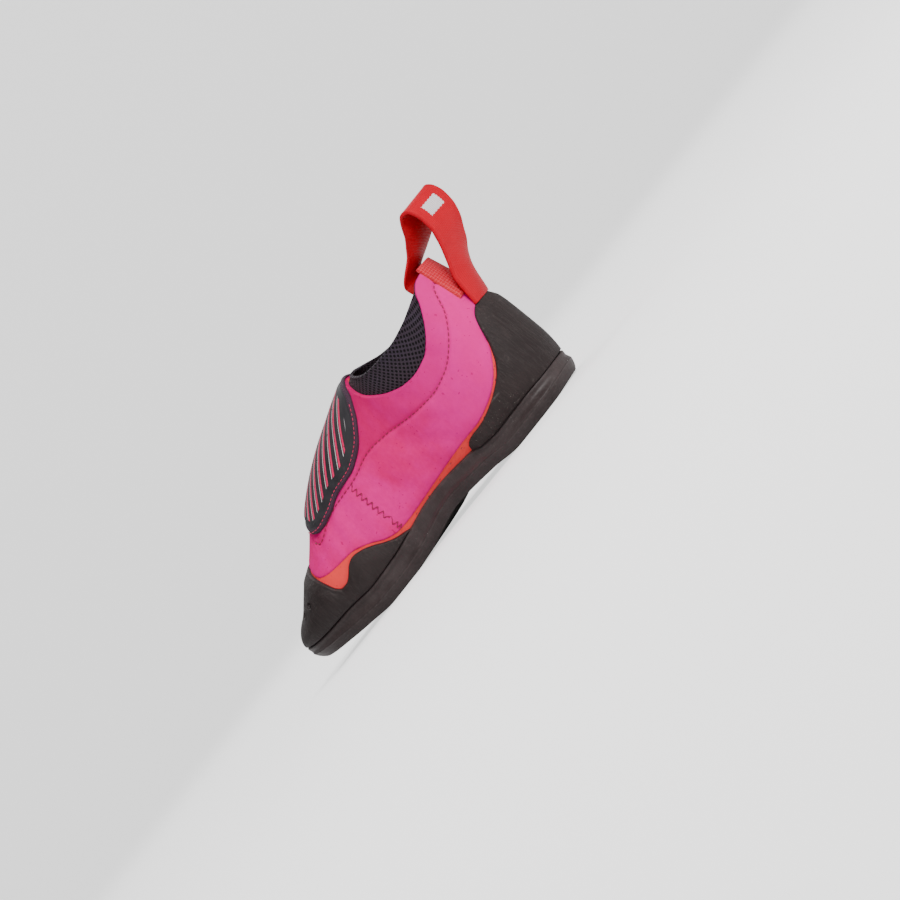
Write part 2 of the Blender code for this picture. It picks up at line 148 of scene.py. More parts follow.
# The rand's upper edge. at: share of the last's length. over: share of the heel height, over the sole.
RAND_COLUMNS = ("at", "over")
RAND_LINE = (
    (0.00, 0.060),
    (0.08, 0.073),
    (0.17, 0.070),
    (0.27, 0.064),
    (0.34, 0.063),
    (0.43, 0.065),
    (0.51, 0.082),
    (0.60, 0.087),
    (0.68, 0.080),
    (0.80, 0.071),
    (0.89, 0.050),
    (0.94, 0.044),
    (1.00, 0.044),
)

# Edges seen from the side. at: share of the last's length. up: share of the heel height.
EDGE_COLUMNS = ("at", "up")
UNDERLAY_LINE = (
    (0.00, 0.610),
    (0.012, 0.600),
    (0.026, 0.560),
    (0.037, 0.510),
    (0.055, 0.412),
    (0.105, 0.300),
    (0.152, 0.258),
    (0.21, 0.236),
    (0.26, 0.236),
    (0.30, 0.233),
    (0.36, 0.226),
    (0.42, 0.216),
    (0.48, 0.208),
    (0.53, 0.204),
    (0.564, 0.206),
    (0.60, 0.228),
    (0.65, 0.299),
    (0.69, 0.336),
    (0.74, 0.350),
    (0.77, 0.362),
    (0.80, 0.390),
    (0.82, 0.460),
    (0.86, 0.420),
    (1.00, 0.250),
)
HEEL_CUP_LINE = (
    (0.00, 0.640),
    (0.011, 0.625),
    (0.024, 0.595),
    (0.036, 0.535),
    (0.048, 0.440),
    (0.072, 0.345),
    (0.10, 0.293),
    (0.15, 0.245),
    (0.20, 0.220),
    (0.245, 0.215),
    (0.266, 0.197),
    (0.274, 0.165),
)
TOE_CAP_LINE = (
    (0.552, 0.160),
    (0.562, 0.172),
    (0.587, 0.194),
    (0.613, 0.228),
    (0.64, 0.270),
    (0.67, 0.306),
    (0.696, 0.321),
    (0.715, 0.310),
    (0.739, 0.275),
    (0.76, 0.256),
    (0.775, 0.258),
    (0.786, 0.285),
    (0.796, 0.350),
    (0.812, 0.430),
    (0.835, 0.500),
)
RIM_LINE = (
    (0.00, 0.950),
    (0.03, 0.935),
    (0.05, 0.900),
    (0.065, 0.845),
    (0.10, 0.750),
    (0.13, 0.695),
    (0.16, 0.663),
    (0.21, 0.647),
    (0.25, 0.658),
    (0.30, 0.700),
    (0.34, 0.757),
    (0.36, 0.793),
    (0.375, 0.838),
    (0.384, 0.880),
    (0.392, 0.915),
)
CUFF_LINE = (
    (0.00, 0.935),
    (0.05, 0.905),
    (0.09, 0.878),
    (0.13, 0.856),
    (0.20, 0.838),
    (0.27, 0.845),
    (0.32, 0.862),
    (0.36, 0.900),
    (0.40, 0.960),
    (0.42, 0.980),
)
SEAM_LINE = (
    (0.00, 0.865),
    (0.020, 0.843),
    (0.050, 0.711),
    (0.092, 0.608),
    (0.137, 0.545),
    (0.163, 0.526),
    (0.212, 0.509),
    (0.270, 0.518),
    (0.329, 0.542),
    (0.391, 0.572),
    (0.461, 0.590),
    (0.556, 0.557),
    (0.62, 0.552),
    (0.68, 0.528),
    (0.73, 0.492),
    (0.745, 0.520),
    (0.755, 0.640),
)
PANEL_LINE = (
    (0.385, 0.895),
    (0.390, 0.845),
    (0.402, 0.800),
    (0.414, 0.758),
    (0.431, 0.715),
    (0.467, 0.648),
    (0.503, 0.612),
    (0.54, 0.588),
    (0.60, 0.578),
    (0.65, 0.545),
    (0.70, 0.528),
    (0.728, 0.545),
    (0.742, 0.600),
)


def read(rows, columns, name, at):
    """A table's column at these places, on a smooth curve that never overshoots its rows."""
    places = np.array([row[0] for row in rows])
    values = np.array([row[columns.index(name)] for row in rows])
    at = np.clip(at, places[0], places[-1])
    k = np.clip(np.searchsorted(places, at, side="right") - 1, 0, len(rows) - 2)
    spans = np.diff(places)
    slopes = np.diff(values) / spans
    before, after = slopes[:-1], slopes[1:]
    same_way = before * after > 0
    inner = np.where(same_way, 2 * before * after / np.where(same_way, before + after, 1), 0)
    bends = np.concatenate([slopes[:1], inner, slopes[-1:]])
    t = (at - places[k]) / spans[k]
    start, end = bends[k] * spans[k], bends[k + 1] * spans[k]
    return (
        values[k] * (1 + 2 * t) * (1 - t) ** 2
        + start * t * (1 - t) ** 2
        + values[k + 1] * t * t * (3 - 2 * t)
        - end * t * t * (1 - t)
    )


def section(name, at):
    return read(SECTIONS, SECTION_COLUMNS, name, at)


def station(turn):
    """The share of the length at these turns, and +1 on the medial side or -1 on the lateral."""
    turn = np.mod(turn, 2)
    return (1 - np.cos(np.pi * turn)) / 2, np.where(turn <= 1, 1.0, -1.0)


def turn_at(at):
    """The medial turn at this share of the length."""
    return np.arccos(1 - 2 * np.asarray(at, float)) / np.pi


def round_end(share):
    """Rises from 0 to 1 along a quarter circle."""
    share = np.clip(share, 0, 1)
    return np.sqrt(1 - (1 - share) ** 2)


def half_width(at, side, grow=0.0):
    """How far the last reaches to one side of its middle line, with round ends."""
    reach = np.where(side > 0, section("medial", at), section("lateral", at))
    ends = round_end(at / HEEL_ROUND) * round_end((1 - at) / TOE_ROUND)
    return (reach * BALL_WIDTH + grow) * ends


def sole_height(at):
    return read(SOLE_LINE, SOLE_COLUMNS, "rise", at) * SOLE_LENGTH


def plan_point(turn, grow, height):
    """Points of the plan outline, this far outside the last."""
    at, side = station(turn)
    x = HEEL_END - grow + (LAST_LENGTH + 2 * grow) * at
    y = section("swing", at) * BALL_WIDTH + side * half_width(at, side, grow)
    return np.stack(np.broadcast_arrays(x, y, sole_height(at) + height), axis=-1)


def last_point(turn, lift):
    """Points of the last. A lift past either end carries on down or up the other side."""
    turn, lift = np.broadcast_arrays(np.asarray(turn, float), np.asarray(lift, float))
    over = (lift < 0) | (lift > 1)
    turn = np.where(over, 2 - turn, turn)
    lift = np.where(over, 2 * (lift > 1) - lift, lift)
    at, side = station(turn)
    low = sole_height(at) + SOLE_THICKNESS + LAYER_GAP + UPPER_WALL
    rise = (section("crest", at) * INSTEP_HEIGHT - low) * round_end((1 - at) / NOSE_ROUND)
    high = low + np.maximum(rise, NOSE_LEAST_HEIGHT)
    middle = low + section("wide", at) * (high - low)
    angle = np.pi * (lift - 0.5)
    power = np.where(lift >= 0.5, 2 / section("crown", at), 2 / UNDERSIDE_SQUARENESS)
    reach = np.where(lift >= 0.5, high - middle, low - middle)
    z = middle + reach * np.abs(np.sin(angle)) ** power
    out = half_width(at, side) * np.maximum(np.cos(angle), 0) ** power
    back = read(HEEL_CURVE, HEEL_COLUMNS, "back", z / HEEL_HEIGHT)
    fade = np.maximum(1 - at / HEEL_CURVE_REACH, 0) ** 2
    x = HEEL_END + LAST_LENGTH * (at + back * fade)
    return np.stack([x, section("swing", at) * BALL_WIDTH + side * out, z], axis=-1)


def form_point(turn, lift, offset):
    """The points of the last at these turns and lifts, moved straight out by the offset."""
    step = 0.004
    along = last_point(turn + step, lift) - last_point(turn - step, lift)
    up = last_point(turn, lift + step) - last_point(turn, lift - step)
    out = np.cross(up, along)
    out /= np.maximum(np.linalg.norm(out, axis=-1, keepdims=True), 1e-12)
    return last_point(turn, lift) + out * np.asarray(offset)[..., None]


def lift_at(turn, height, offset):
    """How far up its side the offset form reaches this height."""
    turn, height = np.broadcast_arrays(np.asarray(turn, float), np.asarray(height, float))
    low, high = np.zeros(turn.shape), np.ones(turn.shape)
    for _ in range(24):
        middle = (low + high) / 2
        below = form_point(turn, middle, offset)[..., 2] < height
        low, high = np.where(below, middle, low), np.where(below, high, middle)
    return (low + high) / 2


def edge_lift(rows, turn, offset, raised=0.0):
    """The lifts of an edge that is drawn from the side, raised by this much."""
    up = read(rows, EDGE_COLUMNS, "up", station(turn)[0])
    return lift_at(turn, up * HEEL_HEIGHT + raised, offset)


# Building skins from grid primitives

ROUND_STEPS = np.array([0.0, 0.08, 0.3, 0.62, 1.0])
COLUMN_STEP = 1.1 * MM
COLUMNS_ROUND = 1.45  # a turn of 1 runs this many times the last's length, at the widest
FINE_REACH = 0.02
SMOOTH_UNDER = 50
MERGE_UNDER = 0.004 * MM
FAR_FROM_EDGE = 5 * MM

# Slow waves of a soft upper: the way they run, their length and depth in mm, and their start
SOFT_WAVES = (
    ((1.0, 0.3, 0.5), 3.6, 0.10, 0.4),
    ((-0.4, 0.2, 1.0), 2.9, 0.08, 1.7),
    ((0.7, -0.6, -0.6), 2.1, 0.05, 2.9),
    ((0.2, 1.0, 0.4), 5.2, 0.12, 0.9),
)


def evenly(first, last, count):
    return np.linspace(first, last, count + 1)


def blend(low, high, share):
    return low + (high - low) * share


def ease(share):
    share = np.clip(share, 0, 1)
    return share * share * (3 - 2 * share)


def turns_from(first, last, fine_at=(), fine_ends=0.0):
    """Turns between two, closer together at these shares of the length and at both ends."""
    count = round(abs(last - first) * LAST_LENGTH * COLUMNS_ROUND / COLUMN_STEP)
    turns = [evenly(first, last, count)]
    for at in fine_at:
        near = turn_at(at) + evenly(-FINE_REACH, FINE_REACH, 36)
        turns += [near, 2 - near, -near]
    if fine_ends:
        turns += [first + ROUND_STEPS * fine_ends, last - ROUND_STEPS * fine_ends]
    turns = np.unique(np.round(np.concatenate(turns), 5))
    return turns[(turns >= min(first, last)) & (turns <= max(first, last))]


def rows_between(turns, low, high, count, edge, offset):
    """Lifts between two edges, closer together near both, and how far each is from either."""
    low, high = np.broadcast_to(low, turns.shape), np.broadcast_to(high, turns.shape)
    rough = blend(low[:, None], high[:, None], evenly(0, 1, 12)[None, :])
    steps = np.diff(form_point(turns[:, None], rough, offset), axis=1)
    length = np.maximum(np.linalg.norm(steps, axis=-1).sum(axis=1), 0.01 * MM)[:, None]
    near = ROUND_STEPS[None, :] * np.minimum(edge / length, 0.3)
    last = near[:, -1:]
    middle = last + (1 - 2 * last) * evenly(0, 1, count)[None, 1:-1]
    share = np.hstack([near, middle, 1 - near[:, ::-1]])
    return blend(low[:, None], high[:, None], share), share * length, (1 - share) * length


def select_only(obj):
    bpy.ops.object.select_all(action="DESELECT")
    obj.select_set(True)
    bpy.context.view_layer.objects.active = obj


def face_corners(mesh):
    """The four vertices of each face of a grid."""
    corners = np.empty(4 * len(mesh.polygons), int)
    mesh.loops.foreach_get("vertex_index", corners)
    return corners.reshape(-1, 4)


def grid(name, points, coordinates):
    """A grid primitive whose columns and rows are moved to these points, with a map in mm."""
    columns, rows = points.shape[:2]
    bpy.ops.object.select_all(action="DESELECT")
    bpy.ops.mesh.primitive_grid_add(x_subdivisions=columns - 1, y_subdivisions=rows - 1, size=2)
    obj = bpy.context.object
    obj.name = obj.data.name = name
    mesh = obj.data
    flat = np.empty(3 * len(mesh.vertices))
    mesh.vertices.foreach_get("co", flat)
    flat = flat.reshape(-1, 3)
    column = np.rint((flat[:, 0] + 1) / 2 * (columns - 1)).astype(int)
    row = np.rint((flat[:, 1] + 1) / 2 * (rows - 1)).astype(int)
    mesh.vertices.foreach_set("co", points[column, row].ravel())
    corner = face_corners(mesh).ravel()
    mesh.uv_layers[0].name = "map_mm"
    mesh.uv_layers[0].data.foreach_set("uv", coordinates[column[corner], row[corner]].ravel())
    return obj, column, row


def store(mesh, name, values):
    """Keeps a value for each vertex, for the paints."""
    mesh.attributes.new(name, "FLOAT", "POINT").data.foreach_set("value", values.astype(np.float32))


def close_up(obj, materials, smooth, dropped=None, inner=None):
    """Merges what meets, closes open ends, turns the faces outwards and shades them smooth."""
    for material in materials:
        obj.data.materials.append(material)
    bm = bmesh.new()
    bm.from_mesh(obj.data)
    bm.faces.ensure_lookup_table()
    if inner is not None:
        for index in np.flatnonzero(inner):
            bm.faces[index].material_index = 1
    if dropped is not None:
        gone = [bm.faces[index] for index in np.flatnonzero(dropped)]
        bmesh.ops.delete(bm, geom=gone, context="FACES")
    bmesh.ops.remove_doubles(bm, verts=bm.verts, dist=MERGE_UNDER)
    holes = [edge for edge in bm.edges if len(edge.link_faces) == 1]
    bmesh.ops.holes_fill(bm, edges=holes, sides=0)
    bmesh.ops.recalc_face_normals(bm, faces=bm.faces)
    if bm.calc_volume(signed=True) < 0:
        bmesh.ops.reverse_faces(bm, faces=bm.faces)
    bm.to_mesh(obj.data)
    bm.free()
    select_only(obj)
    bpy.ops.object.shade_smooth_by_angle(angle=math.radians(smooth))
    return obj


def run_along(line):
    """The distance from the first of these points to each."""
    steps = np.linalg.norm(np.diff(line, axis=0), axis=-1)
    return np.concatenate([[0], np.cumsum(steps)])


def skin(name, turns, lifts, base, outer, near, materials, joined=None, centred=False,
         shift=None, marks=None):
    """A closed skin: out along the rows at the outer offset, and back at the base offset.

    near: the distance to the nearest cut edge, kept for wear. joined: the columns whose sides
    meet along the ridge. centred: its map starts from the middle of each column. shift: moves the
    outer rows. marks: a value for each outer row, kept for the paint.
    """
    base, outer = np.broadcast_to(base, lifts.shape), np.broadcast_to(outer, lifts.shape)
    rows = lifts.shape[1]
    back = list(range(rows - 1, 0, -3)) + [0]
    order = list(range(rows)) + back + [0]
    offsets = np.hstack([outer, base[:, back], outer[:, :1]])
    points = form_point(turns[:, None], lifts[:, order], offsets)
    if shift is not None:
        points[:, :rows] += shift
        points[:, -1] = points[:, 0]
    steps = np.linalg.norm(np.diff(points[:, :rows], axis=1), axis=-1)
    up = np.hstack([np.zeros((len(turns), 1)), np.cumsum(steps, axis=1)])
    if centred:
        up = up - up[:, -1:] / 2
    along = run_along(form_point(turns, lifts[:, rows // 2], outer[:, rows // 2]))
    along = np.broadcast_to(along[:, None], up.shape)
    obj, column, row = grid(name, points, np.stack([along, up], axis=-1)[:, order] / MM)
    mesh = obj.data
    away = np.hstack([near, np.full((len(turns), len(back)), FAR_FROM_EDGE), near[:, :1]])
    store(mesh, "edge_mm", away[column, row] / MM)
    if marks is not None:
        store(mesh, "mark", np.array([marks[k] for k in order])[row])
    corners = face_corners(mesh)
    low, high = row[corners].min(axis=1), row[corners].max(axis=1)
    dropped = None
    if joined is not None:
        rim = (low == rows - 1) & (high == rows)
        dropped = rim & joined[column[corners]].all(axis=1)
    inner = (low >= rows) & (high < len(order) - 1) if len(materials) > 1 else None
    return close_up(obj, materials, SMOOTH_UNDER, dropped, inner)


def settle(obj, node, slot):
    """The piece rides with the shoe, stands for its solid and takes its slot."""
    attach(obj, "root")
    if node:
        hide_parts(node)
    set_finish(obj, slot)
    return obj


def trough(points, start, end, depth, width):
    """A soft trough along a line between two places in mm, or a ridge where depth is negative."""
    start, end = np.array(start) * MM, np.array(end) * MM
    way = end - start
    share = np.clip((points - start) @ way / (way @ way), 0, 1)
    away = np.linalg.norm(points - start - share[..., None] * way, axis=-1)
    return -depth * np.exp(-((away / width) ** 2)) * np.sin(np.pi * blend(0.12, 0.88, share))


def undulation(points):
    """The slight unevenness of a soft upper over the last: slow waves in three directions."""
    waves = 0
    for way, length, depth, start in SOFT_WAVES:
        waves = waves + depth * MM * np.sin(points @ np.array(way) / (length * MM) + start)
    return waves


def seam_dent(distance, depth, width):
    """A dent along a line, or a bead where the depth is negative."""
    return -depth * np.exp(-((distance / width) ** 2))


# Paints, and the effects they share

COLOURS = {
    "outsole": (0.024, 0.015, 0.014),
    "outsole_worn": (0.050, 0.040, 0.034),
    "band": (0.034, 0.023, 0.023),
    "band_worn": (0.085, 0.066, 0.066),
    "cap": (0.018, 0.011, 0.011),
    "cap_worn": (0.042, 0.030, 0.029),
    "grime": (0.012, 0.011, 0.010),
    "chalk": (0.42, 0.39, 0.36),
    "pink": (0.820, 0.000, 0.180),
    "pink_pale": (0.960, 0.010, 0.400),
    "pink_thread": (0.260, 0.000, 0.040),
    "pink_deep": (0.400, 0.000, 0.055),
    "orange": (0.980, 0.060, 0.060),
    "orange_deep": (0.700, 0.040, 0.040),
    "panel": (0.014, 0.013, 0.016),
    "panel_worn": (0.075, 0.070, 0.078),
    "panel_chalk": (0.4, 0.38, 0.38),
    "mauve": (0.060, 0.024, 0.048),
    "mauve_deep": (0.045, 0.018, 0.036),
    "print_pink": (0.850, 0.010, 0.120),
    "print_white": (0.850, 0.780, 0.800),
    "mesh": (0.042, 0.028, 0.040),
    "mesh_cool": (0.036, 0.026, 0.050),
    "mesh_worn": (0.060, 0.048, 0.070),
    # Painted shade seen through holes in the mesh and in the stitching
    "mesh_hole_shade": (0.002, 0.001, 0.002),
    "red": (0.640, 0.000, 0.018),
    "red_deep": (0.260, 0.000, 0.000),
    "tape_thread": (0.880, 0.110, 0.140),
    "white": (0.860, 0.820, 0.840),
    "white_deep": (0.62, 0.50, 0.52),
    "board": (0.350, 0.300, 0.260),
    "lining": (0.560, 0.200, 0.190),
    "floor": (0.86, 0.86, 0.86),
    "floor_cool": (0.83, 0.83, 0.84),
}
COLOUR_MIX_INPUTS = ("Factor_Float", "A_Color", "B_Color")

# Places of the printed and woven marks, in mm on the maps
BAR_LENGTH = 5.6
BAR_WIDTH = 10.0
BAR_BLUR = 0.2
MESH_PITCH = 1.7
CHEVRON_PITCH = 6.2
CHEVRON_SLANT = 0.9
BORDER_WIDTH = 1.7
PRINT_INSET = 5.0
# The middle and half the width of each printed stripe, as shares of the pitch
PINK_STRIPE = (0.30, 0.12)
WHITE_STRIPE = (0.56, 0.035)

# Painted highlight: where the brushed pink starts and stops turning paler towards the heel, in metres
HEEL_PAINTED_HIGHLIGHT = (0.042, 0.000)


def tint(name):
    return (*COLOURS[name], 1)


def feed(tree, value, socket):
    """Links a socket's output to this input, or sets a plain value on it."""
    if isinstance(value, bpy.types.NodeSocket):
        tree.links.new(value, socket)
    else:
        socket.default_value = value


def add(tree, kind, inputs=None, **settings):
    made = tree.nodes.new(kind)
    for name, value in settings.items():
        setattr(made, name, value)
    for key, value in (inputs or {}).items():
        feed(tree, value, made.inputs[key])
    return made


def use(tree, group, **inputs):
    return add(tree, "ShaderNodeGroup", inputs, node_tree=group).outputs


def calc(tree, operation, *values, clamp=False):
    inputs = dict(enumerate(values))
    return add(tree, "ShaderNodeMath", inputs, operation=operation, use_clamp=clamp).outputs[0]


def times(tree, *values, clamp=False):
    return calc(tree, "MULTIPLY", *values, clamp=clamp)


def plus(tree, *values, clamp=False):
    return calc(tree, "ADD", *values, clamp=clamp)


def less(tree, *values, clamp=False):
    return calc(tree, "SUBTRACT", *values, clamp=clamp)


def mixed(tree, share, first, second):
    made = add(tree, "ShaderNodeMix", data_type="RGBA")
    for key, value in zip(COLOUR_MIX_INPUTS, (share, first, second)):
        feed(tree, value, next(socket for socket in made.inputs if socket.identifier == key))
    return next(socket for socket in made.outputs if socket.type == "RGBA")


def layered(tree, shade, *coats):
    """Lays colours over a shade: each coat is a mask, its strength and the colour's name."""
    for mask, strength, name in coats:
        shade = mixed(tree, times(tree, mask, strength), shade, tint(name))
    return shade


def ranged(tree, value, low, high):
    """0 to 1 along a smooth step between two values."""
    inputs = {"Value": value, "From Min": low, "From Max": high, "To Min": 0.0, "To Max": 1.0}
    return add(tree, "ShaderNodeMapRange", inputs, interpolation_type="SMOOTHSTEP").outputs["Result"]


def noise(tree, vector, scale, detail=3.0, roughness=0.55, distortion=0.0):
    inputs = {"Vector": vector, "Scale": scale, "Detail": detail, "Roughness": roughness,
              "Distortion": distortion}
    return add(tree, "ShaderNodeTexNoise", inputs).outputs["Fac"]


def mapped(tree, vector, **settings):
    inputs = {"Vector": vector, **settings}
    return add(tree, "ShaderNodeMapping", inputs).outputs[0]


def parts_of(tree, vector):
    return add(tree, "ShaderNodeSeparateXYZ", {"Vector": vector}).outputs


def stored(tree, name):
    return add(tree, "ShaderNodeAttribute", attribute_name=name).outputs["Fac"]


def effect(name, inputs, outputs):
    """An empty node group with named sockets."""
    tree = bpy.data.node_groups.new(name, "ShaderNodeTree")
    for way, sockets in (("INPUT", inputs), ("OUTPUT", outputs)):
        for socket, kind in sockets.items():
            tree.interface.new_socket(socket, in_out=way, socket_type="NodeSocket" + kind)
    source = tree.nodes.new("NodeGroupInput").outputs
    sink = tree.nodes.new("NodeGroupOutput").inputs
    return tree, source, sink


def make_grain():
    """Fine grain with sparse pits: Height for a bump and Mask for colour and roughness."""
    tree, given, out = effect("grain", {"Vector": "Vector", "Scale": "Float", "Pits": "Float"},
                              {"Height": "Float", "Mask": "Float"})
    fine = noise(tree, given["Vector"], given["Scale"], 5.0, 0.65)
    coarse = noise(tree, given["Vector"], times(tree, given["Scale"], 0.22), 3.0)
    pit = noise(tree, given["Vector"], times(tree, given["Scale"], 0.45), 1.0)
    pit = times(tree, ranged(tree, pit, 0.66, 0.74), given["Pits"])
    body = plus(tree, times(tree, fine, 0.6), times(tree, coarse, 0.4))
    tree.links.new(less(tree, body, pit), out["Height"])
    tree.links.new(ranged(tree, coarse, 0.35, 0.65), out["Mask"])
    return tree


def make_mottle():
    """Broad uneven patches, for tone and gloss."""
    tree, given, out = effect("mottle", {"Vector": "Vector", "Scale": "Float"}, {"Mask": "Float"})
    broad = noise(tree, given["Vector"], given["Scale"], 2.0, 0.5, 0.6)
    small = noise(tree, given["Vector"], times(tree, given["Scale"], 5.0), 4.0)
    both = plus(tree, times(tree, broad, 0.7), times(tree, small, 0.3))
    tree.links.new(ranged(tree, both, 0.38, 0.62), out["Mask"])
    return tree


def make_edge_wear():
    """Rubbed edges: strongest at a cut edge, broken up by noise."""
    tree, given, out = effect("edge wear", {"Vector": "Vector", "Width": "Float"}, {"Mask": "Float"})
    share = calc(tree, "DIVIDE", stored(tree, "edge_mm"), given["Width"])
    rub = less(tree, 1.0, share, clamp=True)
    broken = ranged(tree, noise(tree, given["Vector"], 420.0, 4.0, 0.7), 0.36, 0.62)
    tree.links.new(times(tree, rub, broken), out["Mask"])
    return tree


def make_dust():
    """Chalk dust: sparse pale specks and scuff streaks that run along the shoe."""
    tree, given, out = effect("dust", {"Vector": "Vector", "Amount": "Float"}, {"Mask": "Float"})
    specks = ranged(tree, noise(tree, given["Vector"], 1500.0, 2.0), 0.66, 0.74)
    patches = ranged(tree, noise(tree, given["Vector"], 45.0, 3.0), 0.42, 0.68)
    stretched = mapped(tree, given["Vector"], Scale=(0.12, 1, 1))
    streaks = ranged(tree, noise(tree, stretched, 520.0, 3.0, 0.6), 0.60, 0.74)
    both = plus(tree, specks, times(tree, streaks, 0.5))
    tree.links.new(times(tree, times(tree, both, patches), given["Amount"], clamp=True), out["Mask"])
    return tree


def make_weave():
    """Crossing threads on a map in mm: Height, and Over where the first threads lie on top."""
    tree, given, out = effect(
        "weave", {"Map": "Vector", "Along": "Float", "Across": "Float"},
        {"Height": "Float", "Over": "Float"})
    parts = parts_of(tree, given["Map"])
    along = calc(tree, "DIVIDE", parts[0], given["Along"])
    across = calc(tree, "DIVIDE", parts[1], given["Across"])
    first, second = (
        calc(tree, "ABSOLUTE", calc(tree, "SINE", times(tree, count, math.pi)))
        for count in (along, across)
    )
    cell = plus(tree, calc(tree, "FLOOR", along), calc(tree, "FLOOR", across))
    over = calc(tree, "FLOORED_MODULO", cell, 2.0)
    under = less(tree, 1.0, over)
    height = plus(tree, times(tree, first, over), times(tree, second, under))
    tree.links.new(height, out["Height"])
    tree.links.new(over, out["Over"])
    return tree


GRAIN, MOTTLE, EDGE_WEAR, DUST, WEAVE = (
    make_grain(), make_mottle(), make_edge_wear(), make_dust(), make_weave())


def mottled(tree, place, scale):
    return use(tree, MOTTLE, Vector=place, Scale=scale)["Mask"]


def rubbed(tree, place, width):
    return use(tree, EDGE_WEAR, Vector=place, Width=width)["Mask"]


def paint(name):
    """A new material, its tree, its shader, its object coordinates and its map in mm."""
    material = bpy.data.materials.new(name)
    material.use_nodes = True
    tree = material.node_tree
    shader = tree.nodes["Principled BSDF"]
    place = tree.nodes.new("ShaderNodeTexCoord").outputs["Object"]
    flat_map = add(tree, "ShaderNodeUVMap", uv_map="map_mm").outputs["UV"]
    return material, tree, shader, place, flat_map


def dress(tree, shader, shade, roughness, *bumps, specular=0.5, sheen=0.0):
    """Gives a shader its colour, its roughness, its gloss and its stacked bumps.

    Each bump is a height, a strength and a depth in metres.
    """
    feed(tree, shade, shader.inputs["Base Color"])
    feed(tree, roughness, shader.inputs["Roughness"])
    shader.inputs["Specular IOR Level"].default_value = specular
    shader.inputs["Sheen Weight"].default_value = sheen
    normal = None
    for height, strength, depth in bumps:
        inputs = {"Height": height, "Strength": strength, "Distance": depth}
        if normal:
            inputs["Normal"] = normal
        normal = add(tree, "ShaderNodeBump", inputs).outputs["Normal"]
    tree.links.new(normal, shader.inputs["Normal"])


def rubber(name, colour, worn, rough, gloss, dust, scale=900.0, buffed=0.15):
    """Rubber with buffing marks, rubbed edges, grime in its grain and a little chalk."""
    material, tree, shader, place, _ = paint(name)
    grain = use(tree, GRAIN, Vector=place, Scale=scale, Pits=0.35)
    mottle = mottled(tree, place, 38.0)
    chalk = use(tree, DUST, Vector=place, Amount=dust)["Mask"]
    upright = mapped(tree, place, Scale=(1, 1, 0.12))
    marks = ranged(tree, noise(tree, upright, 900.0, 3.0, 0.7), 0.42, 0.72)
    shade = layered(
        tree, tint(colour), (mottle, 0.4, worn), (rubbed(tree, place, 1.5), 0.6, worn),
        (marks, buffed, worn), (grain["Mask"], 0.10, "grime"), (chalk, 0.35, "chalk"))
    uneven = plus(tree, times(tree, mottle, gloss), rough)
    uneven = plus(tree, uneven, times(tree, chalk, 0.2), clamp=True)
    dress(tree, shader, shade, uneven, (mottle, 0.25, 0.0004), (marks, buffed, 0.0003),
          (grain["Height"], 0.55, 0.00018), specular=0.3)
    return material


def microfibre(name, colour, pale, deep, rough=0.82):
    """Brushed synthetic suede: a short nap with finger marks, and a painted highlight that turns it
    paler towards the heel.
    """
    material, tree, shader, place, _ = paint(name)
    nap = use(tree, GRAIN, Vector=place, Scale=2600.0, Pits=0.15)
    mottle = mottled(tree, place, 26.0)
    streak = mapped(tree, place, Scale=(1, 0.6, 0.25))
    brushed = ranged(tree, noise(tree, streak, 330.0, 4.0, 0.7), 0.35, 0.70)
    # Painted highlight: the pink turns paler towards the heel, where the light falls on it
    painted_highlight = ranged(tree, parts_of(tree, place)[0], *HEEL_PAINTED_HIGHLIGHT)
    specks = ranged(tree, noise(tree, place, 620.0, 1.0), 0.715, 0.74)
    shade = layered(
        tree, tint(colour), (mottle, 0.38, pale), (brushed, 0.16, pale), (nap["Mask"], 0.10, deep),
        (rubbed(tree, place, 1.1), 0.35, deep), (stored(tree, "mark"), 0.30, deep),
        (painted_highlight, 0.4, pale), (specks, 0.45, deep))
    uneven = plus(tree, times(tree, brushed, 0.12), rough - 0.06)
    shader.inputs["Sheen Roughness"].default_value = 0.5
    shader.inputs["Sheen Tint"].default_value = tint(pale)
    dress(tree, shader, shade, uneven, (mottle, 0.15, 0.0005), (brushed, 0.25, 0.0002),
          (nap["Height"], 0.6, 0.00016), specular=0.06, sheen=0.01)
    return material


def woven(name, colour, other, along, across, rough, contrast, depth=0.00012):
    """Threads crossing on the map, with uneven dye."""
    material, tree, shader, place, flat_map = paint(name)
    weave = use(tree, WEAVE, Map=flat_map, Along=along, Across=across)
    low = ranged(tree, weave["Height"], 0.75, 0.15)
    shade = layered(
        tree, tint(colour), (low, contrast, other), (mottled(tree, place, 60.0), 0.12, other),
        (rubbed(tree, place, 0.8), 0.2, other))
    uneven = plus(tree, times(tree, low, 0.15), rough)
    dress(tree, shader, shade, uneven, (weave["Height"], 0.7, depth), specular=0.15, sheen=0.03)
    return material


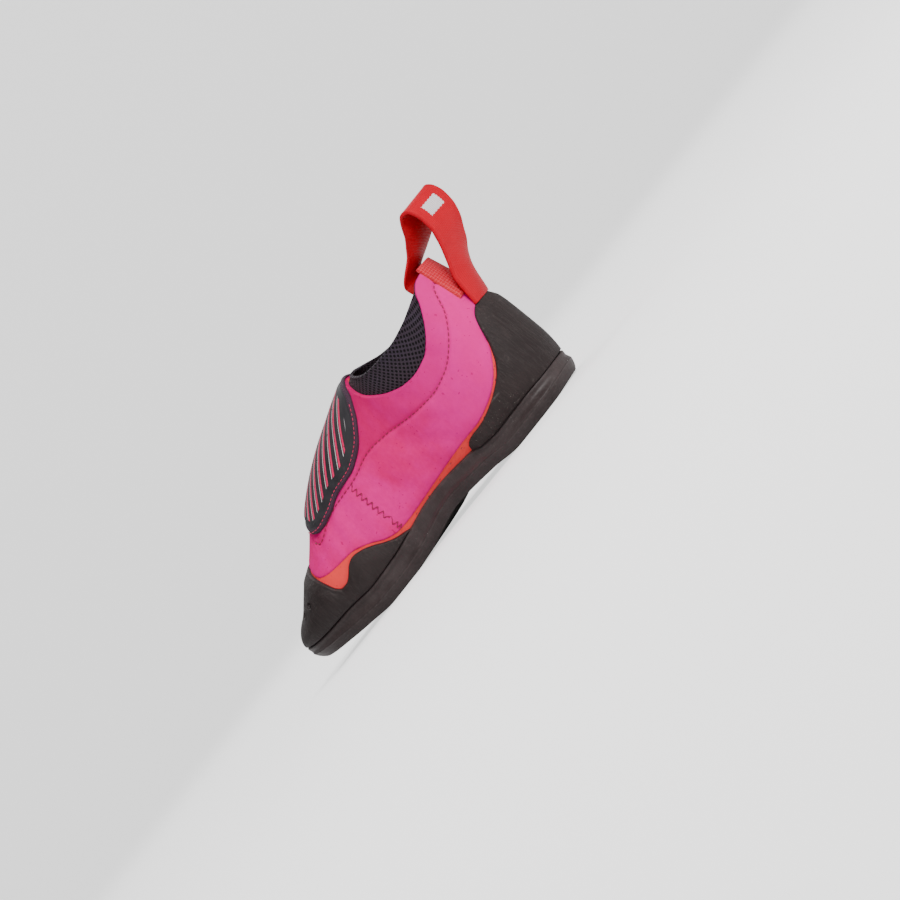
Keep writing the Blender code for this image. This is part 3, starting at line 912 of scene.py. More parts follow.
def make_loop_paint(bar_middle):
    """Satin webbing: fine ribs, painted shade on its inside face, with one plain white woven bar at the
    top.
    """
    material, tree, shader, place, flat_map = paint("loop webbing")
    weave = use(tree, WEAVE, Map=flat_map, Along=0.55, Across=0.9)
    ribs = use(tree, WEAVE, Map=flat_map, Along=1.15, Across=60.0)["Height"]
    parts = parts_of(tree, flat_map)
    inside = stored(tree, "inside")
    ragged = times(tree, weave["Over"], 0.25)
    bar = less(tree, 1.0, inside)
    for part, middle, reach in ((parts[0], bar_middle, BAR_LENGTH / 2), (parts[1], 0.0, BAR_WIDTH / 2)):
        away = plus(tree, calc(tree, "ABSOLUTE", less(tree, part, middle)), ragged)
        bar = times(tree, bar, ranged(tree, away, reach, reach - BAR_BLUR))
    low = ranged(tree, weave["Height"], 0.7, 0.2)
    # Painted shade: the inside face is painted deeper red, as it faces the other leg
    shade = layered(
        tree, tint("red"), (low, 0.35, "red_deep"), (mottled(tree, place, 70.0), 0.12, "red_deep"),
        (rubbed(tree, place, 1.2), 0.3, "red_deep"), (inside, 0.55, "red_deep"))
    shade = mixed(tree, bar, shade, mixed(tree, low, tint("white"), tint("white_deep")))
    gloss = plus(tree, times(tree, low, 0.18), 0.42)
    raised = plus(tree, weave["Height"], times(tree, bar, 0.6))
    dress(tree, shader, shade, gloss, (ribs, 0.35, 0.0001), (raised, 0.6, 0.00012),
          specular=0.12, sheen=0.01)
    return material


def make_mesh_paint():
    """Diamond knit: dark crossing threads round small deep holes, which are painted near-black as
    painted shade.
    """
    material, tree, shader, place, flat_map = paint("cuff mesh")
    turned = mapped(tree, flat_map, Rotation=(0, 0, math.radians(45)))
    weave = use(tree, WEAVE, Map=turned, Along=MESH_PITCH / 2, Across=MESH_PITCH / 2)
    waves = [
        calc(tree, "ABSOLUTE", calc(tree, "SINE", times(tree, part, math.pi / MESH_PITCH)))
        for part in parts_of(tree, turned)[:2]
    ]
    hole = ranged(tree, times(tree, *waves), 0.35, 0.70)
    shade = layered(tree, tint("mesh"), (mottled(tree, place, 50.0), 0.35, "mesh_cool"),
                    (rubbed(tree, place, 1.0), 0.4, "mesh_worn"))
    # Painted shade: the holes are painted near-black, for the dark seen through them
    shade = mixed(tree, hole, shade, tint("mesh_hole_shade"))
    uneven = plus(tree, times(tree, hole, 0.2), 0.66)
    raised = less(tree, times(tree, weave["Height"], 0.3), hole)
    dress(tree, shader, shade, uneven, (raised, 0.8, 0.0003), specular=0.2, sheen=0.03)
    return material


def make_panel_paint():
    """Dark rubber with a mauve bound border and a printed row of pink and white chevrons."""
    material, tree, shader, place, flat_map = paint("instep panel")
    near = stored(tree, "edge_mm")
    grain = use(tree, GRAIN, Vector=place, Scale=1100.0, Pits=0.25)
    mottle = mottled(tree, place, 40.0)
    weave = use(tree, WEAVE, Map=flat_map, Along=0.7, Across=0.7)
    chalk = use(tree, DUST, Vector=place, Amount=0.5)["Mask"]
    parts = parts_of(tree, flat_map)
    aside = times(tree, calc(tree, "ABSOLUTE", parts[1]), CHEVRON_SLANT)
    step = calc(tree, "DIVIDE", less(tree, parts[0], aside), CHEVRON_PITCH)
    share = calc(tree, "FRACT", plus(tree, step, 10.0))
    inward = ranged(tree, near, PRINT_INSET, PRINT_INSET + 0.3)
    worn = ranged(tree, noise(tree, place, 900.0, 4.0, 0.7), 0.30, 0.42)
    inked = times(tree, inward, worn)
    pink, white = (
        times(tree, calc(tree, "COMPARE", share, *stripe), inked)
        for stripe in (PINK_STRIPE, WHITE_STRIPE)
    )
    border = ranged(tree, near, BORDER_WIDTH + 0.1, BORDER_WIDTH)
    shade = layered(tree, tint("panel"), (mottle, 0.3, "panel_worn"), (chalk, 0.2, "panel_chalk"))
    shade = mixed(tree, pink, shade, tint("print_pink"))
    shade = mixed(tree, white, shade, tint("print_white"))
    threads = mixed(tree, weave["Height"], tint("mauve_deep"), tint("mauve"))
    shade = mixed(tree, border, shade, threads)
    gloss = plus(tree, times(tree, mottle, 0.12), 0.50)
    gloss = less(tree, gloss, times(tree, pink, 0.15))
    ink = times(tree, plus(tree, pink, white), 0.7)
    cloth = times(tree, weave["Height"], border)
    dress(tree, shader, shade, gloss, (plus(tree, ink, cloth), 0.6, 0.00022),
          (grain["Height"], 0.4, 0.00012), specular=0.3)
    return material


def thread_paint(name, colour, deep):
    """Twisted thread with a little fuzz."""
    material, tree, shader, place, _ = paint(name)
    twist = add(tree, "ShaderNodeTexWave", {"Vector": place, "Scale": 900.0, "Distortion": 2.0},
                bands_direction="DIAGONAL").outputs["Fac"]
    fuzz = use(tree, GRAIN, Vector=place, Scale=4000.0, Pits=0.0)
    shade = layered(tree, tint(colour), (twist, 0.5, deep))
    uneven = plus(tree, times(tree, fuzz["Mask"], 0.2), 0.5)
    dress(tree, shader, shade, uneven, (plus(tree, twist, fuzz["Height"]), 0.5, 0.0001), sheen=0.2)
    return material


sole_paint = rubber("sole rubber", "outsole", "outsole_worn", 0.62, 0.16, 0.5, 700.0)
band_paint = rubber("band rubber", "band", "band_worn", 0.40, 0.14, 0.5)
cap_paint = rubber("cap rubber", "cap", "cap_worn", 0.50, 0.16, 0.7, buffed=0.35)
heel_paint = rubber("heel rubber", "cap", "cap_worn", 0.56, 0.16, 1.0, buffed=0.6)
pink_paint = microfibre("pink microfibre", "pink", "pink_pale", "pink_deep")
orange_paint = microfibre("orange underlay", "orange", "orange", "orange_deep", 0.75)
lining_paint = woven("lining", "lining", "orange_deep", 0.5, 0.5, 0.8, 0.4)
board_paint = woven("insole cloth", "board", "mesh", 0.6, 0.6, 0.85, 0.4)
tape_paint = woven("tape weave", "red", "tape_thread", 1.5, 1.2, 0.6, 0.75, 0.0002)
mesh_paint, panel_paint = make_mesh_paint(), make_panel_paint()
pink_thread = thread_paint("pink thread", "pink_thread", "red_deep")
red_thread = thread_paint("red thread", "print_pink", "pink_deep")
# Near-black spots for the underlay's stitch holes: painted shade
hole_shade_thread = thread_paint("stitch hole shade", "mesh", "mesh_hole_shade")


# Where the layers lie, measured out from the last
SOCK_OUT = 1.0 * MM
ON_SOCK = 0.9 * MM
ON_UPPER = 1.7 * MM
UPPER_OUT = UPPER_WALL
PANEL_OUT = 4.0 * MM
CUFF_IN = -1.3 * MM
CUT_ROUND = 0.8 * MM
HAIRLINE = 0.12 * MM
DEEPEST_DENT = 0.6 * MM
RUBBER_EDGE = 1.7 * MM
PANEL_EDGE = 1.5 * MM
UNDERLAY_IN = 0.05 * MM
INSOLE_OUT = -0.3 * MM
INSOLE_WALL = 1.8 * MM
TAPE_OUT = 3.0 * MM

THROAT_AT = 0.392
SEAM_AT = 0.562
SEAM_END_AT = 0.76
CAP_JOINED_AT = 0.836
PANEL_ENDS_AT = (0.3875, 0.742)
CUFF_FRONT_AT = 0.42
CUFF_BELOW_RIM = 12 * MM
INSOLE_ENDS_AT = (0.025, 0.95)
UNDERSIDE_LIFT = 0.12
JOINED_LIFT = 0.9995
INSOLE_LIFT = 0.24
TAPE_UP = (0.70, 0.965)
FINE_ENDS = 0.003
FAR = 20 * MM
SIDES = (1, -1)  # medial, lateral

# How deep and how wide the dents and swells are
SEAM_DENT = (0.7 * MM, 0.75 * MM)
JOINT_DENT = (0.3 * MM, 0.8 * MM)
SEAM_PUCKER = (0.11 * MM, 2.6 * MM)
RAND_BEAD = (-0.12 * MM, 0.6 * MM)
BORDER_DENT = (0.25 * MM, 0.5 * MM)
DIMPLE_RIM = 0.25 * MM
CUFF_FOLD = 0.3 * MM
CUFF_FOLD_REACH = 1.4 * MM
PUCKER_WAVES = (1.5 * MM, 1.9 * MM)
SOFT_EDGE = (0.25 * MM, 3 * MM)
THIN_TO_RIM = 5 * MM
PANEL_SLOPE = 5 * MM

# The rubber. Its slopes run from the cut edge to full thickness, its beads lie along the edges.
RUBBER_SLOPE = 6 * MM
RAND_SLOPE = 4.5 * MM
RAND_ROUND = 0.7 * MM
RAND_BEAD_IN = 1.6 * MM
RAND_INSIDE_RIM = 0.15 * MM
RAND_OVER_SOLE = 0.02 * MM
# Where the rand is bare between heel cup and toe cap, and how fast it thickens there
BARE_AT = (0.25, 0.60)
BARE_FADE = 0.03

# The wear of the sole's side, as distances from its lower edge in mm, ring by ring
SIDE_WEAR_MM = (0.3, 1.0, 2.0, 3.0, 3.0, 2.0)

# The upper's main creases: two places, each a share of the length and a lift, a depth and a width
CREASES = (
    ((0.640, 0.52), (0.600, 0.76), 0.75, 2.6),
    ((0.690, 0.56), (0.655, 0.82), 0.60, 2.3),
    ((0.665, 0.54), (0.628, 0.80), -0.45, 2.4),
    ((0.745, 0.60), (0.720, 0.84), 0.50, 2.2),
    ((0.440, 0.42), (0.520, 0.60), 0.60, 3.2),
    ((0.270, 0.46), (0.400, 0.60), 0.70, 3.6),
    ((0.200, 0.50), (0.330, 0.66), -0.50, 3.4),
    ((0.100, 0.56), (0.220, 0.68), 0.60, 3.0),
)

# Small plain dimples: share of the length, lift, side, depth and width in mm
DIMPLES = ((0.866, 0.640, 1, 2.4, 1.1), (0.902, 0.680, 1, 2.2, 1.0))

# The pull loop's free run, from inside the collar over the top to the heel.
# at: share of the run. ahead, up: shares of the heel height. twist: degrees. bow: as on the heel.
LOOP_PATH = (
    (0.20, -0.054, 1.034, 32, 0.05),
    (0.27, -0.126, 1.092, 42, 0.00),
    (0.33, -0.168, 1.143, 43, 0.00),
    (0.39, -0.208, 1.183, 37, 0.00),
    (0.44, -0.233, 1.170, 32, 0.00),
    (0.50, -0.248, 1.110, 30, 0.00),
    (0.58, -0.242, 1.045, 28, 0.02),
    (0.66, -0.217, 0.980, 25, 0.05),
    (0.74, -0.170, 0.900, 18, 0.15),
    (0.88, -0.110, 0.780, 6, 0.60),
)
LOOP_INSIDE_UP = (0.84, 0.94)
LOOP_FOOT_UP = 0.622
LOOP_SEAT = -2.45 * MM
LOOP_STEPS = 260
LOOP_RIPPLE = 0.12 * MM
SELVEDGE_ROUND = 0.6 * MM
SELVEDGE_THIN = 0.25
# The raised thread beside each selvedge: how far in it runs, its height and its width
SELVEDGE_RIDGE = (1.1 * MM, 0.12 * MM, 0.5 * MM)
BAR_SHARE = 0.51

# Stitches: how far under the surface they lie, their pitch, their length and their thickness
SEAM_STITCH = (0.32 * MM, 2.3 * MM, 1.7 * MM, 0.28 * MM)
BORDER_STITCH = (0.55 * MM, 1.9 * MM, 1.3 * MM, 0.2 * MM)
SEAM_STITCHED_AT = (0.006, 0.745)
BORDER_STITCHED_AT = (0.402, 0.735)
BORDER_INSET = 2.3 * MM
SPOT_BELOW = 0.9 * MM
SPOT_LENGTH = 1.1 * MM
SPOT_THICK = 0.22 * MM
# The dark spots under the pink edge, painted shade of the stitch holes: where each row starts and ends
# along the last, and its pitch
SPOT_ROWS = ((0.012, 0.20, 5.5 * MM), (0.26, 0.55, 9 * MM))

# The zigzag joint: its legs, the stitches in each, half its width and its lean along the last
ZIGZAG_LEGS = 19
ZIGZAG_STEPS = 2
ZIGZAG_REACH = 0.0075
ZIGZAG_LEAN = 0.006
ZIGZAG_THICK = 0.24 * MM
ZIGZAG_SUNK = 0.02 * MM
ZIGZAG_OVERLAP = 1.06


def near_edge(points, edge):
    """How far each point is from a line of points that is filled in to run smoothly."""
    parts = [blend(edge[:-1], edge[1:], share) for share in (0, 0.25, 0.5, 0.75)]
    line = np.concatenate([*parts, edge[-1:]])
    tree = KDTree(len(line))
    for index, place in enumerate(line):
        tree.insert(place, index)
    tree.balance()
    flat = points.reshape(-1, 3)
    away = np.array([tree.find(place)[2] for place in flat])
    return away.reshape(points.shape[:-1])


def on_form(at, lift, side, offset=0.0):
    """The point at this share of the length and lift, on one side."""
    turn = turn_at(at) if side > 0 else 2 - turn_at(at)
    return form_point(turn, np.asarray(lift, float), offset)


def crease(points, start, end, depth, width, side=1):
    """A soft crease between two places, each a share of the length and a lift."""
    ends = [on_form(at, lift, side, UPPER_OUT) / MM for at, lift in (start, end)]
    return trough(points, *ends, depth, width)


def over_sole(turns, raised):
    """The lifts that lie this far over the sole's top, on the rubber."""
    height = sole_height(station(turns)[0]) + SOLE_THICKNESS + raised
    return lift_at(turns, height, RUBBER_OUT)


def rand_top(turns):
    """The height of the rand's upper edge over the sole's top."""
    return read(RAND_LINE, RAND_COLUMNS, "over", station(turns)[0]) * HEEL_HEIGHT


def make_outsole():
    """A flat sole with a bevelled edge, its two halves meeting along its middle."""
    turns = turns_from(0, 2)
    shares = np.array([0.0, 0.3, 0.6, 0.8, 0.92, 0.98, 1.0])
    bottom = RUBBER_OUT - SOLE_BEVEL
    # From the middle of the underside out, up the side and back over the top. Each ring is a share
    # of the way out, how far that lies outside the last, and a height.
    rings = [(share, bottom, 0.0) for share in shares[:-1]]
    rings += [(1.0, bottom - 0.25 * MM, 0.0), (1.0, bottom - 0.05 * MM, 0.06 * MM)]
    side = len(rings)
    rings += [(1.0, bottom + 0.12 * MM, 0.26 * MM), (1.0, bottom + 0.22 * MM, 0.5 * MM)]
    for share in (0.2, 0.4, 0.6, 0.8, 0.93):
        belly = 0.35 * MM * math.sin(math.pi * share)
        rings.append((1.0, blend(bottom, RUBBER_OUT, share) + belly, share * SOLE_THICKNESS))
    side_end = len(rings)
    rings += [(1.0, RUBBER_OUT - 0.02 * MM, SOLE_THICKNESS - 0.12 * MM)]
    rings += [(1.0, RUBBER_OUT - 0.2 * MM, SOLE_THICKNESS)]
    rings += [(share, RUBBER_OUT, SOLE_THICKNESS) for share in (0.85, 0.4, 0.0)]
    points = np.stack([plan_point(turns, grow, height) for _, grow, height in rings], axis=1)
    axis = section("swing", station(turns)[0])[:, None] * BALL_WIDTH
    share = np.array([ring[0] for ring in rings])[None, :]
    points[..., 1] = axis + share * (points[..., 1] - axis)
    flat_map = np.stack([points[..., 0], points[..., 1] + points[..., 2]], axis=-1) / MM
    obj, _, row = grid("sole_unit", points, flat_map)
    rim = np.array([5.0 if ring[0] < 1 else 0.0 for ring in rings])
    rim[side:side + len(SIDE_WEAR_MM)] = SIDE_WEAR_MM
    store(obj.data, "edge_mm", rim[row])
    low = row[face_corners(obj.data)].min(axis=1)
    close_up(obj, [sole_paint, band_paint], 40, inner=(low >= side) & (low < side_end))
    return settle(obj, "outsole", "outsole")


def make_sock():
    """The thin underlay that shows orange between the panels and the rubber."""
    turns = turns_from(0, 2, fine_at=(THROAT_AT,))
    joined = station(turns)[0] > THROAT_AT
    rim = edge_lift(RIM_LINE, turns, 0, raised=-3 * MM)
    high = np.where(joined, 1.0, rim)
    lifts, _, from_high = rows_between(turns, UNDERSIDE_LIFT, high, 60, CUT_ROUND, SOCK_OUT)
    near = np.where(joined[:, None], FAR_FROM_EDGE, from_high)
    outer = UNDERLAY_IN + (SOCK_OUT - UNDERLAY_IN) * round_end(near / CUT_ROUND)
    paints = [orange_paint, lining_paint]
    obj = skin("underlay", turns, lifts, UNDERLAY_IN, outer, near, paints, joined)
    return settle(obj, "upper", "upper")


def make_pink_panels():
    """The collar facing over the quarter and the vamp, with sunk seams between them."""
    turns = turns_from(0, 2, fine_at=(THROAT_AT, 0.03))
    at = station(turns)[0]
    joined = at > THROAT_AT
    line = edge_lift(UNDERLAY_LINE, turns, UPPER_OUT)
    seam = np.maximum(edge_lift(SEAM_LINE, turns, UPPER_OUT), line)
    high = np.where(joined, 1.0, edge_lift(RIM_LINE, turns, UPPER_OUT))
    high = np.maximum(high, seam)
    lower, _, to_seam = rows_between(turns, line, seam, 44, CUT_ROUND, UPPER_OUT)
    above, from_seam, to_rim = rows_between(turns, seam, high, 34, CUT_ROUND, UPPER_OUT)
    lifts = np.hstack([lower, above[:, 1:]])
    from_rim = np.hstack([np.full(lower.shape, FAR), to_rim[:, 1:]])
    from_rim = np.where(joined[:, None], FAR, from_rim)
    points = form_point(turns[:, None], lifts, UPPER_OUT)
    low_edge = near_edge(points, form_point(turns, line, UPPER_OUT))
    low_edge[:, 0] = 0
    cut = np.minimum(low_edge, from_rim)
    base = ON_SOCK * ease(from_rim / THIN_TO_RIM)
    from_seam = np.hstack([to_seam, from_seam[:, 1:]])
    from_seam = np.where((at > SEAM_END_AT)[:, None], FAR, from_seam)
    relief = seam_dent(from_seam, *SEAM_DENT)
    quarter = np.hstack([np.ones(lower.shape), np.zeros(above[:, 1:].shape)])
    across = points[..., 0] - (HEEL_END + SEAM_AT * LAST_LENGTH)
    relief += seam_dent(across, *JOINT_DENT) * quarter
    pucker = np.sin(points[..., 0] / PUCKER_WAVES[0] + points[..., 2] / PUCKER_WAVES[1])
    relief -= pucker * seam_dent(from_seam, *SEAM_PUCKER)
    for side in SIDES:
        for start, end, depth, width in CREASES:
            relief += crease(points, start, end, depth * MM, width * MM, side)
    relief += undulation(points) * ease(from_seam / (4 * MM)) * ease(low_edge / (5 * MM))
    relief = np.maximum(relief, -DEEPEST_DENT * np.tanh(-relief / DEEPEST_DENT))
    rounding = round_end(cut / CUT_ROUND)
    soft_low = SOFT_EDGE[0] * (1 - ease(low_edge / SOFT_EDGE[1]))
    outer = base + (UPPER_OUT - base) * rounding + (relief - soft_low) * rounding
    marks = [0.0] * lower.shape[1] + [1.0] * (above.shape[1] - 1)
    obj = skin("panels", turns, lifts, base, outer, cut, [pink_paint], joined, marks=marks)
    return settle(obj, None, "upper")


def make_rand():
    """The band over the sole: its foot runs out to the sole's rim, its top stays on the form."""
    turns = turns_from(0, 2)
    at = station(turns)[0]
    low, high = over_sole(turns, RAND_OVER_SOLE), over_sole(turns, rand_top(turns))
    lifts, from_low, from_high = rows_between(turns, low, high, 14, 0.6 * MM, RUBBER_OUT)
    bare = ease((at - BARE_AT[0]) / BARE_FADE) * ease((BARE_AT[1] - at) / BARE_FADE)
    bare = bare[:, None]
    full = RUBBER_OUT - ON_SOCK
    slope = ease(from_high / RAND_SLOPE)
    wall = blend(full, RUBBER_EDGE + (full - RUBBER_EDGE) * slope, bare)
    outer = ON_SOCK + wall * round_end(from_high / RAND_ROUND)
    outer += seam_dent(from_high - RAND_BEAD_IN, *RAND_BEAD)
    near = np.where(bare > 0.3, from_high, 3 * MM)
    own = form_point(turns[:, None], lifts, outer)
    foot = plan_point(turns, RUBBER_OUT - RAND_INSIDE_RIM, SOLE_THICKNESS + RAND_OVER_SOLE)
    shift = foot[:, None] - own
    shift[..., 2] = shift[:, :1, 2]
    fullness = 1 - ease(from_low / (from_low + from_high))
    shift = shift * fullness[..., None]
    obj = skin("sole_band", turns, lifts, ON_SOCK, outer, near, [band_paint], shift=shift)
    return settle(obj, "rand", "rand")


def rubber_cover(name, node, turns, high, paints, dimples=()):
    """A rubber sheet from just over the rand to its cut edge, or over the ridge where it gets there."""
    joined = high >= JOINED_LIFT
    low = np.minimum(over_sole(turns, rand_top(turns) + HAIRLINE), high - 0.01)
    lifts, from_low, _ = rows_between(turns, low, high, 60, CUT_ROUND, RUBBER_OUT)
    points = form_point(turns[:, None], lifts, RUBBER_OUT)
    edge = form_point(turns, high, RUBBER_OUT)[~joined]
    split = np.flatnonzero(np.diff(np.flatnonzero(~joined)) > 1)
    edges = [*np.split(edge, split + 1), points[0], points[-1]]
    near = np.minimum.reduce([near_edge(points, edge) for edge in edges])
    near[:, -1] = np.where(joined, near[:, -1], 0)
    full = RUBBER_OUT - ON_SOCK
    wall = RUBBER_EDGE * round_end(near / CUT_ROUND)
    wall += (full - RUBBER_EDGE) * ease(near / RUBBER_SLOPE)
    low_gap = np.maximum(round_end(from_low / (0.4 * MM)), 0.6)
    for at, lift, side, depth, width in dimples:
        away = np.linalg.norm(points - on_form(at, lift, side, RUBBER_OUT), axis=-1)
        wall -= depth * MM * np.exp(-((away / (width * MM)) ** 4))
        wall += DIMPLE_RIM * np.exp(-(((away / MM - 1.6 * width) / 0.4) ** 2))
    outer = ON_SOCK + wall * low_gap
    obj = skin(name, turns, lifts, ON_SOCK, outer, near, paints, joined)
    return settle(obj, node, node)


def make_toe_cap():
    """The toe rubber: its rear edge sweeps up and closes over the ridge at the front."""
    rear = float(turn_at(TOE_CAP_LINE[0][0]))
    fine_at = (0.79, 0.81, *(dimple[0] for dimple in DIMPLES))
    turns = turns_from(rear, 2 - rear, fine_at, FINE_ENDS)
    high = edge_lift(TOE_CAP_LINE, turns, RUBBER_OUT)
    high = np.where(station(turns)[0] > CAP_JOINED_AT, 1.0, high)
    return rubber_cover("toe_rubber", "toe_cap", turns, high, [cap_paint], DIMPLES)


def make_heel_cup():
    """The heel rubber: low in front and tall at the back."""
    front = float(turn_at(HEEL_CUP_LINE[-1][0]))
    turns = turns_from(-front, front, fine_at=(0.03,), fine_ends=FINE_ENDS)
    high = edge_lift(HEEL_CUP_LINE, turns, RUBBER_OUT)
    return rubber_cover("heel_rubber", "heel_cup", turns, high, [heel_paint])


def panel_edges(turns, offset):
    """The lifts of the instep panel's medial edge and, past the ridge, of its lateral edge."""
    low = edge_lift(PANEL_LINE, turns, offset)
    return low, 2 - edge_lift(PANEL_LINE, 2 - turns, offset)


def make_instep_panel():
    """The thick panel over the instep, with a dent under its border stitches."""
    ends = [float(turn_at(at)) for at in PANEL_ENDS_AT]
    turns = turns_from(*ends, fine_at=(THROAT_AT,), fine_ends=FINE_ENDS)
    low, high = panel_edges(turns, UPPER_OUT)
    lifts, _, _ = rows_between(turns, low, high, 54, CUT_ROUND, PANEL_OUT)
    points = form_point(turns[:, None], lifts, PANEL_OUT)
    sides = [form_point(turns, edge, PANEL_OUT) for edge in (low, high)]
    outline = np.concatenate([sides[0], points[-1], sides[1][::-1], points[0][::-1]])
    near = near_edge(points, outline)
    near[:, [0, -1]] = 0
    near[[0, -1]] = 0
    wall = PANEL_EDGE * round_end(near / CUT_ROUND)
    wall += (PANEL_OUT - ON_UPPER - PANEL_EDGE) * ease(near / PANEL_SLOPE)
    wall += seam_dent(near - BORDER_INSET, *BORDER_DENT)
    obj = skin("tongue_panel", turns, lifts, ON_UPPER, ON_UPPER + wall, near, [panel_paint],
               centred=True)
    return settle(obj, "instep_panel", "instep_panel")


def make_cuff():
    """The stretch mesh sleeve inside the rim, with a folded top edge."""
    front = float(turn_at(CUFF_FRONT_AT))
    turns = turns_from(-front, front, fine_at=(THROAT_AT, 0.375))
    rim = edge_lift(RIM_LINE, turns, 0)
    low = edge_lift(RIM_LINE, turns, 0, raised=-CUFF_BELOW_RIM)
    high = np.maximum(edge_lift(CUFF_LINE, turns, 0), rim)
    joined = high >= JOINED_LIFT
    lifts, _, from_high = rows_between(turns, low, high, 40, CUT_ROUND, 0)
    near = np.where(joined[:, None], FAR_FROM_EDGE, from_high)
    fold = CUFF_FOLD * (1 - ease((near - CUFF_FOLD_REACH) / (0.5 * MM)))
    outer = CUFF_IN + (CUFF_WALL + fold) * round_end(near / CUT_ROUND)
    obj = skin("cuff_mesh", turns, lifts, CUFF_IN, outer, near, [mesh_paint], joined)
    return settle(obj, "collar_cuff", "collar_cuff")


def make_insole():
    """The thin board under the foot, with a rounded edge."""
    turns = turns_from(*(float(turn_at(at)) for at in INSOLE_ENDS_AT), fine_ends=FINE_ENDS)
    lifts, from_low, from_high = rows_between(turns, -INSOLE_LIFT, INSOLE_LIFT, 30, CUT_ROUND, 0)
    near = np.minimum(from_low, from_high)
    outer = INSOLE_OUT - INSOLE_WALL * round_end(near / CUT_ROUND)
    obj = skin("insole_board", turns, lifts, INSOLE_OUT, outer, near, [board_paint])
    return settle(obj, "insole", "insole")


def turn_reaching(y, lift, offset):
    """The turn at the heel where the offset form reaches this far to the side."""
    low, high = 0.0, 0.2
    for _ in range(20):
        middle = (low + high) / 2
        reach = form_point(math.copysign(middle, y), lift, offset)[1]
        low, high = (middle, high) if abs(reach) < abs(y) else (low, middle)
    return math.copysign((low + high) / 2, y)


def make_heel_tape():
    """Flat woven tape up the back of the heel, as wide as the loop."""
    lows = [lift_at(0.0, up * HEEL_HEIGHT, UPPER_OUT) for up in TAPE_UP]
    side = turn_reaching(WEBBING_WIDTH / 2, np.mean(lows), UPPER_OUT)
    turns = np.sort(np.concatenate([evenly(-side, side, 40), [-side * 0.99, side * 0.99]]))
    lifts, from_low, from_high = rows_between(turns, lows[0], lows[1], 40, 0.4 * MM, TAPE_OUT)
    run = run_along(form_point(turns, np.mean(lows), TAPE_OUT))
    near = np.minimum(np.minimum(from_low, from_high), np.minimum(run, run[-1] - run)[:, None])
    outer = ON_UPPER + (TAPE_OUT - ON_UPPER) * round_end(near / (0.5 * MM))
    obj = skin("back_tape", turns, lifts, ON_UPPER, outer, near, [tape_paint])
    return settle(obj, "heel_tape", "heel_tape")


def loop_rows():
    """The loop's path in metres: its seat inside the cuff, its free run and its foot on the heel."""
    seats = [(up, LOOP_SEAT - WEBBING_WALL) for up in LOOP_INSIDE_UP]
    seats.append((LOOP_FOOT_UP, UPPER_OUT + 0.2 * MM))
    seated = []
    for up, offset in seats:
        lift = float(lift_at(0.0, up * HEEL_HEIGHT, offset))
        middle = form_point(0.0, lift, offset)
        edge = form_point(turn_reaching(WEBBING_WIDTH / 2, lift, offset), lift, offset)
        seated.append((middle[0], middle[2], 0, edge[0] - middle[0]))
    full_bow = max(row[3] for row in seated)
    free = [
        (share, HEEL_END + ahead * HEEL_HEIGHT, up * HEEL_HEIGHT, twist, bow * full_bow)
        for share, ahead, up, twist, bow in LOOP_PATH
    ]
    return ((0.0, *seated[0]), (0.12, *seated[1]), *free, (1.0, *seated[2]))


def make_pull_loop():
    """A loop of webbing, with its two faces and thin selvedges."""
    names = ("at", "x", "z", "twist", "bow")
    rows = loop_rows()
    share = evenly(0, 1, LOOP_STEPS)
    x, z, twist, bow = (read(rows, names, name, share)[:, None] for name in names[1:])
    inward = np.array([0, 0.05, 0.2, 0.45, 0.8]) * MM / (WEBBING_WIDTH / 2)
    side = np.concatenate([-1 + inward, evenly(-0.88, 0.88, 18), 1 - inward[::-1]])[None, :]
    reach, angle = side * WEBBING_WIDTH / 2, np.radians(twist)
    ripple = LOOP_RIPPLE * np.sin(share * 60)[:, None] * side
    points = np.stack([x + bow * side**2 + reach * np.sin(angle),
                       reach * np.cos(angle), z + 0 * reach + ripple], axis=-1)
    out = np.cross(np.gradient(points, axis=0), np.gradient(points, axis=1))
    out /= np.linalg.norm(out, axis=-1, keepdims=True)
    if out[int(len(share) * 0.4), side.shape[1] // 2, 2] < 0:
        out = -out
    to_edge = (1 - np.abs(side)) * WEBBING_WIDTH / 2
    thin = SELVEDGE_THIN + (1 - SELVEDGE_THIN) * round_end(to_edge / SELVEDGE_ROUND)
    ridge = -seam_dent(to_edge - SELVEDGE_RIDGE[0], *SELVEDGE_RIDGE[1:])
    outer = points + out * (WEBBING_WALL * thin + ridge)[..., None]
    back = points[:, ::-1]
    everything = np.concatenate([outer, back, outer[:, :1]], axis=1)
    width = points.shape[1]
    around = np.concatenate([side, side[:, ::-1], side[:, :1]], axis=1)
    along = run_along(points[:, width // 2])[:, None]
    along, across = np.broadcast_arrays(along, around * WEBBING_WIDTH / 2)
    bar_middle = float(along[int(BAR_SHARE * LOOP_STEPS), 0] / MM)
    obj, _, row = grid("webbing_loop", everything, np.stack([along, across], axis=-1) / MM)
    # The inside face, which the paint darkens as painted shade and keeps the white bar off
    store(obj.data, "inside", ((row >= width) & (row < 2 * width)).astype(float))
    away = (1 - np.abs(around[0])) * WEBBING_WIDTH / 2
    store(obj.data, "edge_mm", away[row] / MM + 0.3)
    close_up(obj, [make_loop_paint(bar_middle)], 60)
    return settle(obj, "pull_loop", "pull_loop")


def in_fixed_order(mesh):
    """A mesh's points and faces, sorted, because the ball's own order changes from run to run."""
    points = np.array([vert.co[:] for vert in mesh.vertices])
    order = np.lexsort(np.round(points, 4).T)
    place = np.argsort(order).tolist()
    faces = [[place[index] for index in face.vertices] for face in mesh.polygons]
    return points[order], sorted(faces, key=sorted)


